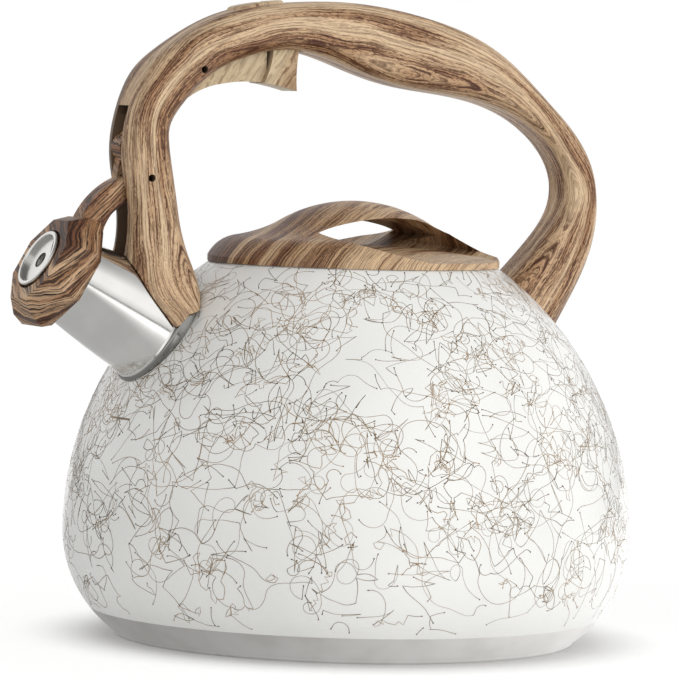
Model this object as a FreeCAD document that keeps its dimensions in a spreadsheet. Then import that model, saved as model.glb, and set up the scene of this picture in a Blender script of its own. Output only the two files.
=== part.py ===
"""Stovetop whistling kettle, millimetres.

The origin is the centre of the face the kettle stands on, +Z is up, the spout points along -X and the
handle lies in the XZ plane. Every size that a designer would change is a cell of the sheet "Sizes".
"""
import FreeCAD, Part
import math
import os
import re
import Sketcher

V = FreeCAD.Vector

SIZES = [
    # vessel
    ("belly_radius", 107.5, "widest outside radius"),
    ("belly_height", 40, "height of the widest point"),
    ("foot_arc", 47.3, "radius of the side below the widest point"),
    ("shoulder_arc", 124, "radius of the side above the widest point"),
    ("body_wall", 0.8, "steel of the vessel"),
    ("seat_radius", 52.6, "where the shoulder turns in to the lid seat"),
    ("neck_radius", 46, "inside of the filling neck"),
    ("neck_depth", 8, "how far the neck hangs down"),
    ("rim_height", 10.4, "top edge of the capsule base"),
    ("base_wall", 0.6, "steel of the capsule"),
    ("base_bend", 2.2, "bend at the foot of the capsule"),
    ("core_thickness", 5, "aluminium heat spreader"),
    # spout, measured along and across its own axis
    ("spout_height", 115.2, "where the axis leaves the vessel"),
    ("spout_tilt", 30, "axis above the horizontal"),
    ("spout_length", 45, "vessel to mouth"),
    ("spout_root", 19.4, "outside radius at the vessel"),
    ("spout_mouth", 15.6, "outside radius at the mouth"),
    ("spout_barrel", 400, "bulge of the side, as an arc"),
    ("spout_wall", 0.8, "steel of the spout"),
    ("flange_radius", 21, "welded ring at the foot of the spout"),
    ("flange_rise", 2, "how far the ring stands off the vessel"),
    # pivots
    ("arm_along", 35.7, "arm pivot along the spout axis"),
    ("arm_rise", 46, "arm pivot above the spout axis"),
    ("trigger_forward", 20.1, "trigger pivot behind the arm pivot"),
    ("trigger_rise", 40.4, "trigger pivot above the arm pivot"),
    ("pin_radius", 1.4, "both pivot pins"),
    ("pin_half", 8.6, "half the length of a pin"),
    ("pin_play", 0.05, "running clearance round a pin"),
    ("spring_wire", 0.4, "radius of the arm spring's wire"),
    ("spring_coil", 2.6, "arm spring, centre to wire"),
    ("spring_peg", 3, "end of the spring that stands in the cheek"),
    ("well_radius", 4.6, "round well for the spring in the arm's knuckle"),
    ("well_depth", 3, "depth of that well"),
    # whistle arm
    ("slot_half", 4.5, "half the gap between the fork's cheeks"),
    ("arm_half", 3.9, "half the thickness of arm and trigger web"),
    ("knuckle", 6.6, "arm round its pin"),
    ("arm_pocket", 3.1, "depth of the pocket in the arm's near face"),
    ("nose_radius", 2.2, "trigger nose that works the arm"),
    ("nose_play", 0.55, "free play of the nose in the arm's notch"),
    ("nose_side", 1.6, "nose in front of the arm pin"),
    ("nose_rise", 12, "nose above the arm pin"),
    # whistle housing, octagonal
    ("housing_back", 40.4, "rear face along the spout axis"),
    ("housing_length", 13.8, "rear face to front face"),
    ("housing_half", 22.3, "centre to a flat at the widest"),
    ("housing_front", 16.4, "centre to a flat at the front face"),
    ("housing_rear", 19.6, "centre to a flat at the rear face"),
    ("housing_belt", 3.6, "rear face to the widest section"),
    ("housing_crown", 8.6, "rear face to the start of the front bevel"),
    ("housing_crown_half", 21, "centre to a flat where the front bevel starts"),
    ("mouth_gap", 1.4, "between spout mouth and housing bore"),
    ("whistle_radius", 11.4, "outside of the whistle cup"),
    ("whistle_proud", 1.2, "cup rim in front of the housing"),
    ("whistle_wall", 0.6, "steel of the whistle"),
    ("whistle_hole", 2.4, "steam hole radius"),
    ("whistle_gap", 0.8, "dark joint round the cup"),
    ("plug_depth", 3, "plug inside the spout mouth"),
    ("plug_gap", 0.9, "plug to the inside of the mouth"),
    ("crescent_start", 8, "first end of the whistle's side opening, degrees from the top"),
    ("crescent_end", 108, "other end of the whistle's side opening"),
    # trigger
    ("pad_half", 6.5, "half the width of the finger pad"),
    ("pad_gap", 0.7, "between pad and handle"),
    ("pad_front", 27.3, "front of the pad behind the pin"),
    ("pad_back", 41.5, "back of the pad behind the pin"),
    # lid
    ("lid_radius", 55.3, "rim of the lid cover"),
    ("lid_height", 22.6, "lid seat to the top of the bridge"),
    ("crown_radius", 30, "where the lid's round crown begins"),
    ("crown_rise", 9, "height of that crown"),
    ("lid_gap", 0.4, "lid plate above the seat"),
    ("lid_play", 1.4, "plug of the lid plate to the neck"),
    ("plate_wall", 0.6, "steel of the lid plate"),
    ("plug_drop", 8.6, "depth of the lid plate's plug"),
    ("seal_gap", 0.3, "seal lip to the neck"),
    ("near_radius", 40, "lens-shaped scoop on the lid's near side"),
    ("near_high", 9.5, "half its height"),
    ("near_right", 12.5, "its centre towards the handle's rear leg"),
    ("near_out", 29.5, "its centre from the handle's line"),
    ("near_rise", 7, "its centre above the lid seat"),
    ("far_radius", 37, "scoop on the far side"),
    ("far_high", 9, "half its height"),
    ("far_right", 8, "its centre towards the spout"),
    ("far_out", 31, "its centre from the handle's line"),
    ("far_rise", 7.3, "its centre above the lid seat"),
    ("scoop_lean", 6, "lean of both scoops, degrees"),
    ("scoop_downhill", 24, "which way they lean, degrees from the handle's line"),
    ("tunnel_radius", 33, "lens-shaped finger hole under the bridge"),
    ("tunnel_high", 6.5, "half its height"),
    ("tunnel_rise", 10, "its centre above the lid seat"),
    ("floor_top", 6, "floor of the scoops above the seat, in the middle"),
    ("floor_edge", 1.2, "and at the rim"),
    ("slope_turn", 13, "flatter slope at the lid's rear, degrees from the handle's line"),
    ("slope_start", 31, "its upper edge from the centre"),
    ("slope_top", 13.3, "its upper edge above the seat"),
    ("slope_rim", 1.6, "its lower edge at the rim, above the seat"),
    # handle
    ("rear_foot", 124.5, "height where the rear leg meets the vessel"),
    ("skin", 7.5, "handle above the trigger slot"),
    ("foot_gap", 0.35, "handle foot to the spout"),
    ("section_power", 3.2, "squareness of the handle section"),
    # fixings
    ("bracket_wall", 1.5, "steel of the handle brackets"),
    ("screw_radius", 1.9, "shank of the handle screws"),
    ("head_radius", 3.4, "head of the handle screws"),
    ("head_height", 2, "thickness of the screw heads"),
    ("lid_screw_circle", 18, "lid screws from the centre"),
]

# Handle sections: outer edge and inner edge (x, z), half width. "arm" counts from the arm pivot,
# "trigger" from the trigger pivot, "rear" from where the rear leg meets the vessel.
STATIONS = [
    ("toe", "arm", 10, -66, 28, -62, 23.4),
    ("foot", "arm", 3, -53.5, 20.8, -50.5, 22),
    ("heel", "arm", -7.2, -40, 21.6, -41, 18.4),
    ("shin", "arm", -7, -27, 17.4, -26.5, 12.6),
    ("calf", "arm", -7.0, -7, 12.6, -6, 11.8),
    ("knee", "arm", -9.2, 15.5, 9.0, 14.5, 12.4),
    ("throat", "arm", -4.4, 33.5, 10.6, 22.3, 12.8),
    ("brow", "trigger", -12.6, 7.4, 2.0, -4.6, 12.8),
    ("crest", "trigger", 5.5, 18.6, 12.0, 2.0, 12.6),
    ("saddle", "trigger", 35.0, 25.7, 38.0, 8.0, 12.6),
    ("grip", "trigger", 66.0, 26.7, 66.0, 1.0, 13.0),
    ("palm", "trigger", 92.0, 23.0, 85.0, -4.3, 13.0),
    ("bend", "rear", -20.0, 100.5, -33.0, 81.0, 12.0),
    ("elbow", "rear", 4.6, 80.8, -6.3, 72.4, 10.8),
    ("back", "rear", 25.9, 53.1, 12.6, 49.9, 10.4),
    ("wrist", "rear", 27.6, 35.0, 10.6, 37.0, 10.8),
    ("shank", "rear", 23.5, 18.9, 1.5, 24.7, 12.0),
    ("ankle", "rear", 15.2, 3.0, -10.3, 12.5, 13.2),
    ("sole", "rear", 6.0, -14.0, -26.0, 0.0, 13.6),
]


def sheet_rows():
    rows = list(SIZES)
    for name, _, *values in STATIONS:
        for word, value in zip(("outer_x", "outer_z", "inner_x", "inner_z", "half"), values):
            rows.append((f"{name}_{word}", value, f"handle section {name}"))
    return rows


def make_sheet(doc):
    sheet = doc.addObject("Spreadsheet::Sheet", "Sizes")
    for row, (alias, value, note) in enumerate(sheet_rows(), start=1):
        sheet.set(f"A{row}", note)
        sheet.set(f"B{row}", str(value))
        sheet.setAlias(f"B{row}", alias)
    doc.recompute()
    return sheet


AROUND = 16  # points round a handle section
SPRING_TURNS = 2

doc = FreeCAD.newDocument("kettle")
sheet = make_sheet(doc)
NAMES = {alias for alias, _, _ in sheet_rows()}


def cells(text):
    """The expression with each size's name pointing at its cell."""
    return re.sub(r"[a-z][a-z_]*", lambda m: f"Sizes.{m[0]}" if m[0] in NAMES else m[0], text)


def number(text):
    return float(sheet.evalExpression(cells(text)))


# Places that several pieces share, as expressions of the sizes.
TILT_COS = "cos(spout_tilt)"
TILT_SIN = "sin(spout_tilt)"


def side_radius(height):
    """Outside radius of the vessel at a height above its widest point."""
    return f"(belly_radius - shoulder_arc + sqrt(shoulder_arc^2 - ({height} - belly_height)^2))"


def foot_radius(height, inset):
    """Radius of the vessel's lower side, or of a shell inside it, at a height."""
    return f"(belly_radius - foot_arc + sqrt((foot_arc - {inset})^2 - (belly_height - {height})^2))"


SPOUT_X = "(-1 * " + side_radius("spout_height") + ")"
SEAT = "(belly_height + sqrt(shoulder_arc^2 - (seat_radius - belly_radius + shoulder_arc)^2))"
ARM_X = f"({SPOUT_X} - {TILT_COS} * arm_along + {TILT_SIN} * arm_rise)"
ARM_Z = f"(spout_height + {TILT_SIN} * arm_along + {TILT_COS} * arm_rise)"
TRIGGER_X = f"({ARM_X} + trigger_forward)"
TRIGGER_Z = f"({ARM_Z} + trigger_rise)"
REAR_X = side_radius("rear_foot")
FLOOR = "(base_wall + core_thickness)"


def near(x, z, dx, dz):
    """A corner at an offset from a shared place."""
    return (f"{x} + ({dx})", f"{z} + ({dz})")


def new_body(name):
    body = doc.addObject("PartDesign::Body", name)
    body.Label = name
    return body


def new_sketch(body, name, plane, lift=None):
    """A sketch on one of the body's own planes, lifted off it by an expression."""
    sketch = body.newObject("Sketcher::SketchObject", name)
    base = [f for f in body.Origin.OriginFeatures if f.Role == plane][0]
    sketch.AttachmentSupport = [(base, "")]
    sketch.MapMode = "FlatFace"
    if lift:
        sketch.setExpression("AttachmentOffset.Base.z", cells(lift))
    doc.recompute()
    return sketch


def pin_down(sketch, kind, *place, text):
    """A constraint whose value follows an expression."""
    index = sketch.addConstraint(Sketcher.Constraint(kind, *place, number(text)))
    sketch.setExpression(f"Constraints[{index}]", cells(text))


def outline(body, name, plane, corners, lift=None):
    """A closed sketch. A corner is (x, y), or (x, y, radius) when an arc runs on to the next corner;
    a minus sign before the radius bends the arc to the right."""
    sketch = new_sketch(body, name, plane, lift)
    spots = [(number(c[0]), number(c[1])) for c in corners]
    bends = [c[2] if len(c) > 2 else None for c in corners]
    count = len(spots)
    ends = []
    for i, bend in enumerate(bends):
        a = V(*spots[i], 0)
        b = V(*spots[(i + 1) % count], 0)
        if bend is None:
            sketch.addGeometry(Part.LineSegment(a, b))
            ends.append((1, 2))
            continue
        left = not bend.startswith("-")
        radius = number(bend.lstrip("-"))
        half = (b - a) / 2
        rise = math.sqrt(radius**2 - half.Length**2)
        across = V(-half.y, half.x, 0).normalize() * (rise if left else -rise)
        centre = a + half + across
        first, last = (a, b) if left else (b, a)
        angles = [math.atan2(p.y - centre.y, p.x - centre.x) for p in (first, last)]
        if angles[1] < angles[0]:
            angles[1] += 2 * math.pi
        sketch.addGeometry(Part.ArcOfCircle(Part.Circle(centre, V(0, 0, 1), radius), *angles))
        ends.append((1, 2) if left else (2, 1))
    for i in range(count):
        after = (i + 1) % count
        sketch.addConstraint(Sketcher.Constraint("Coincident", i, ends[i][1], after, ends[after][0]))
    for i, corner in enumerate(corners):
        pin_down(sketch, "DistanceX", -1, 1, i, ends[i][0], text=corner[0])
        pin_down(sketch, "DistanceY", -1, 1, i, ends[i][0], text=corner[1])
        if bends[i]:
            pin_down(sketch, "Radius", i, text=bends[i].lstrip("-"))
    return sketch


def circles(body, name, plane, spots, radius, lift=None):
    """A sketch of equal circles; each spot is a pair of expressions."""
    sketch = new_sketch(body, name, plane, lift)
    for i, (x, y) in enumerate(spots):
        centre = V(number(x), number(y), 0)
        sketch.addGeometry(Part.Circle(centre, V(0, 0, 1), number(radius)))
        pin_down(sketch, "DistanceX", -1, 1, i, 3, text=x)
        pin_down(sketch, "DistanceY", -1, 1, i, 3, text=y)
        pin_down(sketch, "Radius", i, text=radius)
    return sketch


def revolve(body, sketch, name="Turned"):
    turned = body.newObject("PartDesign::Revolution", name)
    turned.Profile = sketch
    turned.ReferenceAxis = (sketch, ["V_Axis"])
    turned.Angle = 360
    doc.recompute()
    return turned


def pad(body, sketch, length, name="Pad", symmetric=False):
    block = body.newObject("PartDesign::Pad", name)
    block.Profile = sketch
    block.setExpression("Length", cells(length))
    if symmetric:
        block.SideType = "Symmetric"
    doc.recompute()
    return block


def pocket(body, sketch, length, name="Pocket", symmetric=False, backwards=False):
    """A pocket, refused when it takes nothing away."""
    before = body.Shape.Volume
    cut = body.newObject("PartDesign::Pocket", name)
    cut.Profile = sketch
    cut.setExpression("Length", cells(length))
    if symmetric:
        cut.SideType = "Symmetric"
    cut.Reversed = backwards
    doc.recompute()
    if body.Shape.Volume > before - 0.001:
        raise ValueError(f"{body.Label}: {name} cuts nothing")
    return cut


def on_spout_axis(thing):
    """Turn a piece made about +Z so that +Z runs out along the spout and +X points up across it."""
    thing.Placement = FreeCAD.Placement(V(), FreeCAD.Rotation(V(0, 1, 0), -1))
    thing.setExpression("Placement.Base.x", cells(SPOUT_X))
    thing.setExpression("Placement.Base.z", cells("spout_height"))
    thing.setExpression("Placement.Rotation.Angle", cells("spout_tilt - 90"))


def cut(name, base, *tools):
    """The base with each tool taken away in turn; the last step carries the piece's name."""
    for i, tool in enumerate(tools, start=1):
        step = doc.addObject("Part::Cut", name if i == len(tools) else f"{name}_less_{tool.Name}")
        step.Base = base
        step.Tool = tool
        base = step
    base.Label = name
    return base


def cross_hole(name, x, z, radius, far="40", back="20"):
    """A cylinder across the handle, from y = -back to y = far."""
    tool = doc.addObject("Part::Cylinder", name)
    tool.setExpression("Radius", cells(radius))
    tool.setExpression("Height", cells(f"{far} + ({back})"))
    tool.Placement = FreeCAD.Placement(V(), FreeCAD.Rotation(V(1, 0, 0), -90))
    tool.setExpression("Placement.Base.x", cells(x))
    tool.setExpression("Placement.Base.y", cells(f"-1 * ({back})"))
    tool.setExpression("Placement.Base.z", cells(z))
    return tool


def vessel_outer(inset="0"):
    """Corners of the outside of the vessel, from the floor's middle up to the middle of the lid seat."""
    return [
        ("0", "0"),
        (foot_radius("0", "0"), "0", "foot_arc"),
        ("belly_radius", "belly_height", "shoulder_arc"),
        ("seat_radius", SEAT),
        ("0", SEAT),
    ]


def make_envelope():
    """The solid that the vessel fills, for trimming what stands on it."""
    body = new_body("vessel_envelope")
    revolve(body, outline(body, "VesselEnvelope", "XZ_Plane", vessel_outer()))
    return body


def make_spout_envelope():
    """The solid that the spout fills, with the gap its neighbours keep."""
    body = new_body("spout_envelope")
    gap = "foot_gap"
    bulge = "spout_length^2 / (8 * spout_barrel)"
    corners = [
        ("0", "-12"),
        (f"flange_radius + {gap}", "-12"),
        (f"flange_radius + {gap}", f"flange_rise * 0.6 + {gap}"),
        (f"spout_root + {gap} + {bulge}", f"flange_rise + 0.6 + {gap}"),
        (f"spout_mouth + {gap} + {bulge}", f"spout_length + {gap}"),
        ("0", f"spout_length + {gap}"),
    ]
    revolve(body, outline(body, "SpoutEnvelope", "XZ_Plane", corners))
    on_spout_axis(body)
    return body


def make_body_shell():
    """Pressed steel vessel, open below: belly, shoulder, lid seat and filling neck."""
    body = new_body("body_vessel")
    inside = "shoulder_arc - body_wall"
    under = f"{SEAT} - body_wall"
    seat_in = (
        f"belly_radius - shoulder_arc + sqrt(({inside})^2 - ({under} - belly_height)^2)"
    )
    corners = [
        (foot_radius("rim_height", "0"), "rim_height", "foot_arc"),
        ("belly_radius", "belly_height", "shoulder_arc"),
        ("seat_radius", SEAT),
        ("neck_radius", SEAT),
        ("neck_radius", f"{SEAT} - neck_depth"),
        ("neck_radius + body_wall", f"{SEAT} - neck_depth"),
        ("neck_radius + body_wall", under),
        (seat_in, under, f"-{inside}"),
        ("belly_radius - body_wall", "belly_height", "-foot_arc - body_wall"),
        (foot_radius("rim_height", "body_wall"), "rim_height"),
    ]
    revolve(body, outline(body, "VesselWall", "XZ_Plane", corners))
    hole = new_body("spout_opening")
    pad(hole, circles(hole, "SpoutHole", "XY_Plane", [("0", "0")], "spout_root - spout_wall - 1",
                      lift="-25"), "spout_length")
    on_spout_axis(hole)
    return cut("body_shell", body, hole)


def make_vessel_floor():
    """Steel dish welded inside the foot of the vessel."""
    body = new_body("vessel_floor")
    both = "(base_wall + body_wall)"
    corners = [
        ("0", FLOOR),
        (foot_radius(FLOOR, "base_wall"), FLOOR, "foot_arc - base_wall"),
        (foot_radius("rim_height", "base_wall"), "rim_height"),
        (foot_radius("rim_height", both), "rim_height", f"-foot_arc - {both}"),
        (foot_radius(f"({FLOOR} + body_wall)", both), f"{FLOOR} + body_wall"),
        ("0", f"{FLOOR} + body_wall"),
    ]
    revolve(body, outline(body, "FloorDish", "XZ_Plane", corners))
    return body


def make_base_core():
    """Aluminium disc that spreads the heat."""
    body = new_body("base_core")
    disc = circles(body, "Disc", "XY_Plane", [("0", "0")], foot_radius("base_wall", "base_wall") + " - 0.4",
                   lift="base_wall")
    pad(body, disc, "core_thickness")
    return body


def make_base_cap():
    """Steel dish pressed over the heat spreader."""
    body = new_body("base_cap")
    bend_top = "(base_bend * 0.7)"
    corners = [
        ("0", "0"),
        (foot_radius("0", "0") + " - base_bend * 0.6", "0", "base_bend * 1.3"),
        (foot_radius(bend_top, "0"), bend_top, "foot_arc"),
        (foot_radius("rim_height", "0"), "rim_height"),
        (foot_radius("rim_height", "base_wall"), "rim_height", "-foot_arc - base_wall"),
        (foot_radius("base_wall", "base_wall"), "base_wall"),
        ("0", "base_wall"),
    ]
    revolve(body, outline(body, "Dish", "XZ_Plane", corners))
    return body


def make_spout_tube(envelope):
    """Drawn steel spout with a rolled ring at its foot."""
    body = new_body("spout_turned")
    corners = [
        ("spout_root - spout_wall - 1", "-6"),
        ("flange_radius", "-6"),
        ("flange_radius", "flange_rise * 0.4", "flange_rise * 0.7"),
        ("spout_root + 0.6", "flange_rise"),
        ("spout_root", "flange_rise + 0.6", "spout_barrel"),
        ("spout_mouth", "spout_length"),
        ("spout_mouth - spout_wall", "spout_length", "-spout_barrel - spout_wall"),
        ("spout_root - spout_wall", "flange_rise + 0.6"),
    ]
    revolve(body, outline(body, "SpoutWall", "XZ_Plane", corners))
    on_spout_axis(body)
    return cut("spout_tube", body, envelope)


PLACES = {"arm": (ARM_X, ARM_Z), "trigger": (TRIGGER_X, TRIGGER_Z), "rear": (REAR_X, "rear_foot")}


def handle_section(name, place):
    """Points of a closed rounded-square curve between the handle's outer and inner edge."""
    origin = V(number(PLACES[place][0]), 0, number(PLACES[place][1]))
    outer, inner = (
        origin + V(number(f"{name}_{edge}_x"), 0, number(f"{name}_{edge}_z")) for edge in ("outer", "inner")
    )
    across = V(0, number(f"{name}_half"), 0)
    centre = (outer + inner) / 2
    up = (outer - inner) / 2
    shape = 2 / number("section_power")
    points = []
    for step in range(AROUND):
        turn = 2 * math.pi * (step + 0.5) / AROUND
        height = math.copysign(abs(math.cos(turn)) ** shape, math.cos(turn))
        width = math.copysign(abs(math.sin(turn)) ** shape, math.sin(turn))
        points.append(centre + up * height + across * width)
    return points




def skin(sections):
    """A closed solid whose side is one smooth surface through the sections."""
    rings = []
    for points in sections:
        ring = Part.BSplineCurve()
        ring.interpolate(Points=points, PeriodicFlag=True, Parameters=list(range(AROUND + 1)))
        rings.append(ring)
    middles = [sum(points, V()) / AROUND for points in sections]
    along = [0.0]
    for a, b in zip(middles, middles[1:]):
        along.append(along[-1] + (b - a).Length)
    rails = []
    for j in range(rings[0].NbPoles):
        rail = Part.BSplineCurve()
        rail.interpolate(Points=[ring.getPole(j + 1) for ring in rings], Parameters=along)
        rails.append(rail)
    net = [[rail.getPole(k + 1) for rail in rails] for k in range(rails[0].NbPoles)]
    side = Part.BSplineSurface()
    side.buildFromPolesMultsKnots(
        net, rails[0].getMultiplicities(), rings[0].getMultiplicities(), rails[0].getKnots(),
        rings[0].getKnots(), False, True, rails[0].Degree, rings[0].Degree,
    )
    side_face = side.toShape()
    ends = [Part.Face(Part.Wire(side.uIso(u).toShape())) for u in (along[0], along[-1])]
    solid = Part.Solid(Part.Shell([side_face, *ends]))
    solid.fix(0.001, 0.001, 0.01)
    return solid


def make_slot():
    """Room for the arm between the fork's cheeks, and for the trigger under the grip."""
    body = new_body("handle_slot")
    corners = [
        near(ARM_X, ARM_Z, "-30", "-75"),
        near(ARM_X, ARM_Z, "30", "-75"),
        near(ARM_X, ARM_Z, "30", "-15"),
        near(TRIGGER_X, TRIGGER_Z, "pad_back + 1.1", "-25"),
        near(TRIGGER_X, TRIGGER_Z, "pad_back + 1.1", "25.9 - skin"),
        near(TRIGGER_X, TRIGGER_Z, "24", "25.4 - skin"),
        near(TRIGGER_X, TRIGGER_Z, "8", "20 - skin"),
        near(TRIGGER_X, TRIGGER_Z, "-6", "11.5 - skin"),
        near(TRIGGER_X, TRIGGER_Z, "-17.5", "1.5 - skin"),
        near(ARM_X, ARM_Z, "-6.5", "26.5"),
        near(ARM_X, ARM_Z, "-30", "24"),
    ]
    pad(body, outline(body, "SlotOutline", "XZ_Plane", corners), "2 * slot_half", symmetric=True)
    return body


def make_pad_well():
    """Wider room for the finger pad."""
    body = new_body("pad_well")
    corners = [
        near(TRIGGER_X, TRIGGER_Z, "pad_front - 3.1", "-25"),
        near(TRIGGER_X, TRIGGER_Z, "pad_back + 1.1", "-25"),
        near(TRIGGER_X, TRIGGER_Z, "pad_back + 1.1", "25.9 - skin"),
        near(TRIGGER_X, TRIGGER_Z, "pad_front - 3.1", "25.4 - skin"),
    ]
    pad(body, outline(body, "WellOutline", "XZ_Plane", corners), "2 * (pad_half + pad_gap)", symmetric=True)
    return body


FRONT_SCREW = (f"({ARM_X} + 9)", f"({ARM_Z} - 30)")
REAR_SCREW = (f"({REAR_X} + 5.5)", "(rear_foot + 10)")


def make_rear_pocket():
    """Pocket in the rear leg for the bracket that is welded to the vessel."""
    body = new_body("rear_pocket")
    pad(body, outline(body, "PocketOutline", "XZ_Plane", rear_bracket_corners("0.2")), "2 * bracket_wall + 0.4",
        symmetric=True)
    return body


def make_foot_trim():
    """What is taken off under the fork's feet, so that they clear the ring at the spout's foot."""
    body = new_body("foot_trim")
    corners = [
        near(ARM_X, ARM_Z, "-10", "-54.4"),
        near(ARM_X, ARM_Z, "7.4", "-54.4"),
        near(ARM_X, ARM_Z, "12.3", "-49.6"),
        near(ARM_X, ARM_Z, "18.7", "-47.6"),
        near(ARM_X, ARM_Z, "20", "-80"),
        near(ARM_X, ARM_Z, "-10", "-80"),
    ]
    pad(body, outline(body, "TrimOutline", "XZ_Plane", corners), "4 * spout_root", symmetric=True)
    return body


def make_handle(vessel, spout):
    """Moulded handle: a fork astride the spout, the grip and the rear leg, in one piece."""
    loft = doc.addObject("Part::Feature", "handle_form")
    loft.Shape = skin([handle_section(name, place) for name, place, *_ in STATIONS])
    tools = [
        vessel,
        spout,
        make_slot(),
        make_foot_trim(),
        make_pad_well(),
        make_rear_pocket(),
        cross_hole("arm_pin_hole", ARM_X, ARM_Z, "pin_radius"),
        cross_hole("trigger_pin_hole", TRIGGER_X, TRIGGER_Z, "pin_radius"),
        cross_hole("spring_peg_hole", f"({ARM_X} + spring_coil)", ARM_Z, "spring_wire", far="slot_half + 2.4",
                   back="-slot_half"),
        cross_hole("front_screw_hole", *FRONT_SCREW, "screw_radius", back="7"),
        cross_hole("front_head_hole", *FRONT_SCREW, "head_radius + 0.3", back="-9.5"),
        cross_hole("rear_screw_hole", *REAR_SCREW, "screw_radius", back="7"),
        cross_hole("rear_head_hole", *REAR_SCREW, "head_radius + 0.3", back="-9.5"),
    ]
    return cut("handle", loft, *tools)


def make_front_bracket(vessel, spout):
    """Folded steel bracket welded behind the spout, between the fork's cheeks."""
    body = new_body("front_bracket_plate")
    corners = [
        near(ARM_X, ARM_Z, "-1.5", "-24"),
        near(ARM_X, ARM_Z, "-3.5", "-33"),
        near(ARM_X, ARM_Z, "6", "-62"),
        near(ARM_X, ARM_Z, "22", "-62"),
        near(ARM_X, ARM_Z, "19", "-44"),
        near(ARM_X, ARM_Z, "12.5", "-24"),
    ]
    pad(body, outline(body, "BracketSide", "XZ_Plane", corners), "2 * slot_half",
        symmetric=True)
    fold = [
        near(ARM_X, ARM_Z, "-4", "-20"),
        near(ARM_X, ARM_Z, "-4 + 2 * bracket_wall", "-33"),
        near(ARM_X, ARM_Z, "6 + 2 * bracket_wall", "-64"),
        near(ARM_X, ARM_Z, "30", "-64"),
        near(ARM_X, ARM_Z, "30", "-20"),
    ]
    pocket(body, outline(body, "BracketFold", "XZ_Plane", fold), "2 * (slot_half - bracket_wall)",
           symmetric=True)
    hole = cross_hole("front_bracket_hole", *FRONT_SCREW, "screw_radius")
    return cut("front_bracket", body, vessel, spout, hole)


def rear_bracket_corners(gap):
    """Side view of the rear bracket, grown by a gap for the pocket round it."""
    return [
        near(REAR_X, "rear_foot", f"-9 - {gap}", "-4"),
        near(REAR_X, "rear_foot", "6", f"-12 - {gap}"),
        near(REAR_X, "rear_foot", f"13.5 + {gap}", "6"),
        near(REAR_X, "rear_foot", f"13 + {gap}", f"15.5 + {gap}"),
        near(REAR_X, "rear_foot", f"-1 - {gap}", f"17.5 + {gap}"),
    ]


def make_rear_bracket(vessel):
    """Steel tongue welded to the vessel, inside the rear leg."""
    body = new_body("rear_bracket_plate")
    pad(body, outline(body, "TongueSide", "XZ_Plane", rear_bracket_corners("0")), "2 * bracket_wall",
        symmetric=True)
    hole = cross_hole("rear_bracket_hole", *REAR_SCREW, "screw_radius")
    return cut("rear_bracket", body, vessel, hole)


def make_screw(name, x, z):
    """Pan-head screw across the handle, driven from the far side."""
    body = new_body(name)
    tip = circles(body, "Shank", "XZ_Plane", [(x, z)], "screw_radius", lift="-9.5")
    pad(body, tip, "9.5 + 6.5")
    head = circles(body, "Head", "XZ_Plane", [(x, z)], "head_radius", lift="-9.5 - head_height")
    pad(body, head, "head_height", name="HeadPad")
    return body


def make_pin(name, x, z):
    """Steel pivot pin, short of the cheeks' outer faces."""
    body = new_body(name)
    pad(body, circles(body, "Round", "XZ_Plane", [(x, z)], "pin_radius"), "2 * pin_half", symmetric=True)
    return body


def arm_corners():
    """Side view of the arm: knuckle with the notch for the trigger's nose, and the beam to the housing."""
    notch = "(nose_radius + nose_play)"
    bottom = "nose_rise - 1.6"
    return [
        near(ARM_X, ARM_Z, "-9.2", "-0.4"),
        near(ARM_X, ARM_Z, "-8.1", "7.2") + ("-5.2",),
        near(ARM_X, ARM_Z, "-6.3", "15.8") + ("12",),
        near(ARM_X, ARM_Z, "-4.4", "18.8"),
        near(ARM_X, ARM_Z, f"nose_side - 1.9 - {notch}", "18"),
        near(ARM_X, ARM_Z, f"nose_side - 0.2 - {notch}", bottom) + (f"{notch} * 1.1",),
        near(ARM_X, ARM_Z, f"nose_side - 0.2 + {notch}", bottom),
        near(ARM_X, ARM_Z, f"nose_side + 0.5 + {notch}", "nose_rise + 0.1"),
        near(ARM_X, ARM_Z, "knuckle", "8"),
        near(ARM_X, ARM_Z, "knuckle", "0") + ("-knuckle",),
        near(ARM_X, ARM_Z, "0", "-1 * knuckle"),
        near(ARM_X, ARM_Z, "-4.5", "-7.8") + ("40",),
        near(ARM_X, ARM_Z, "-12", "-13.4") + ("20",),
        near(ARM_X, ARM_Z, "-15.1", "-18.6"),
        near(ARM_X, ARM_Z, "-17", "-27"),
        near(ARM_X, ARM_Z, "-27", "-23"),
        near(ARM_X, ARM_Z, "-24.6", "-15.6") + ("-32",),
    ]


def octagon(name, along, half):
    """A section of the housing, its flats facing up, down and to the sides."""
    section = doc.addObject("Part::RegularPolygon", name)
    section.Polygon = 8
    section.setExpression("Circumradius", cells(f"{half} / cos(22.5)"))
    section.Placement = FreeCAD.Placement(V(), FreeCAD.Rotation(V(0, 0, 1), 22.5))
    section.setExpression("Placement.Base.z", cells(along))
    return section


def spout_cylinder(name, radius, start, length):
    """A cylinder on the spout axis, for a bore."""
    tool = new_body(name)
    pad(tool, circles(tool, name + "_circle", "XY_Plane", [("0", "0")], radius, lift=start), length)
    on_spout_axis(tool)
    return tool


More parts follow.
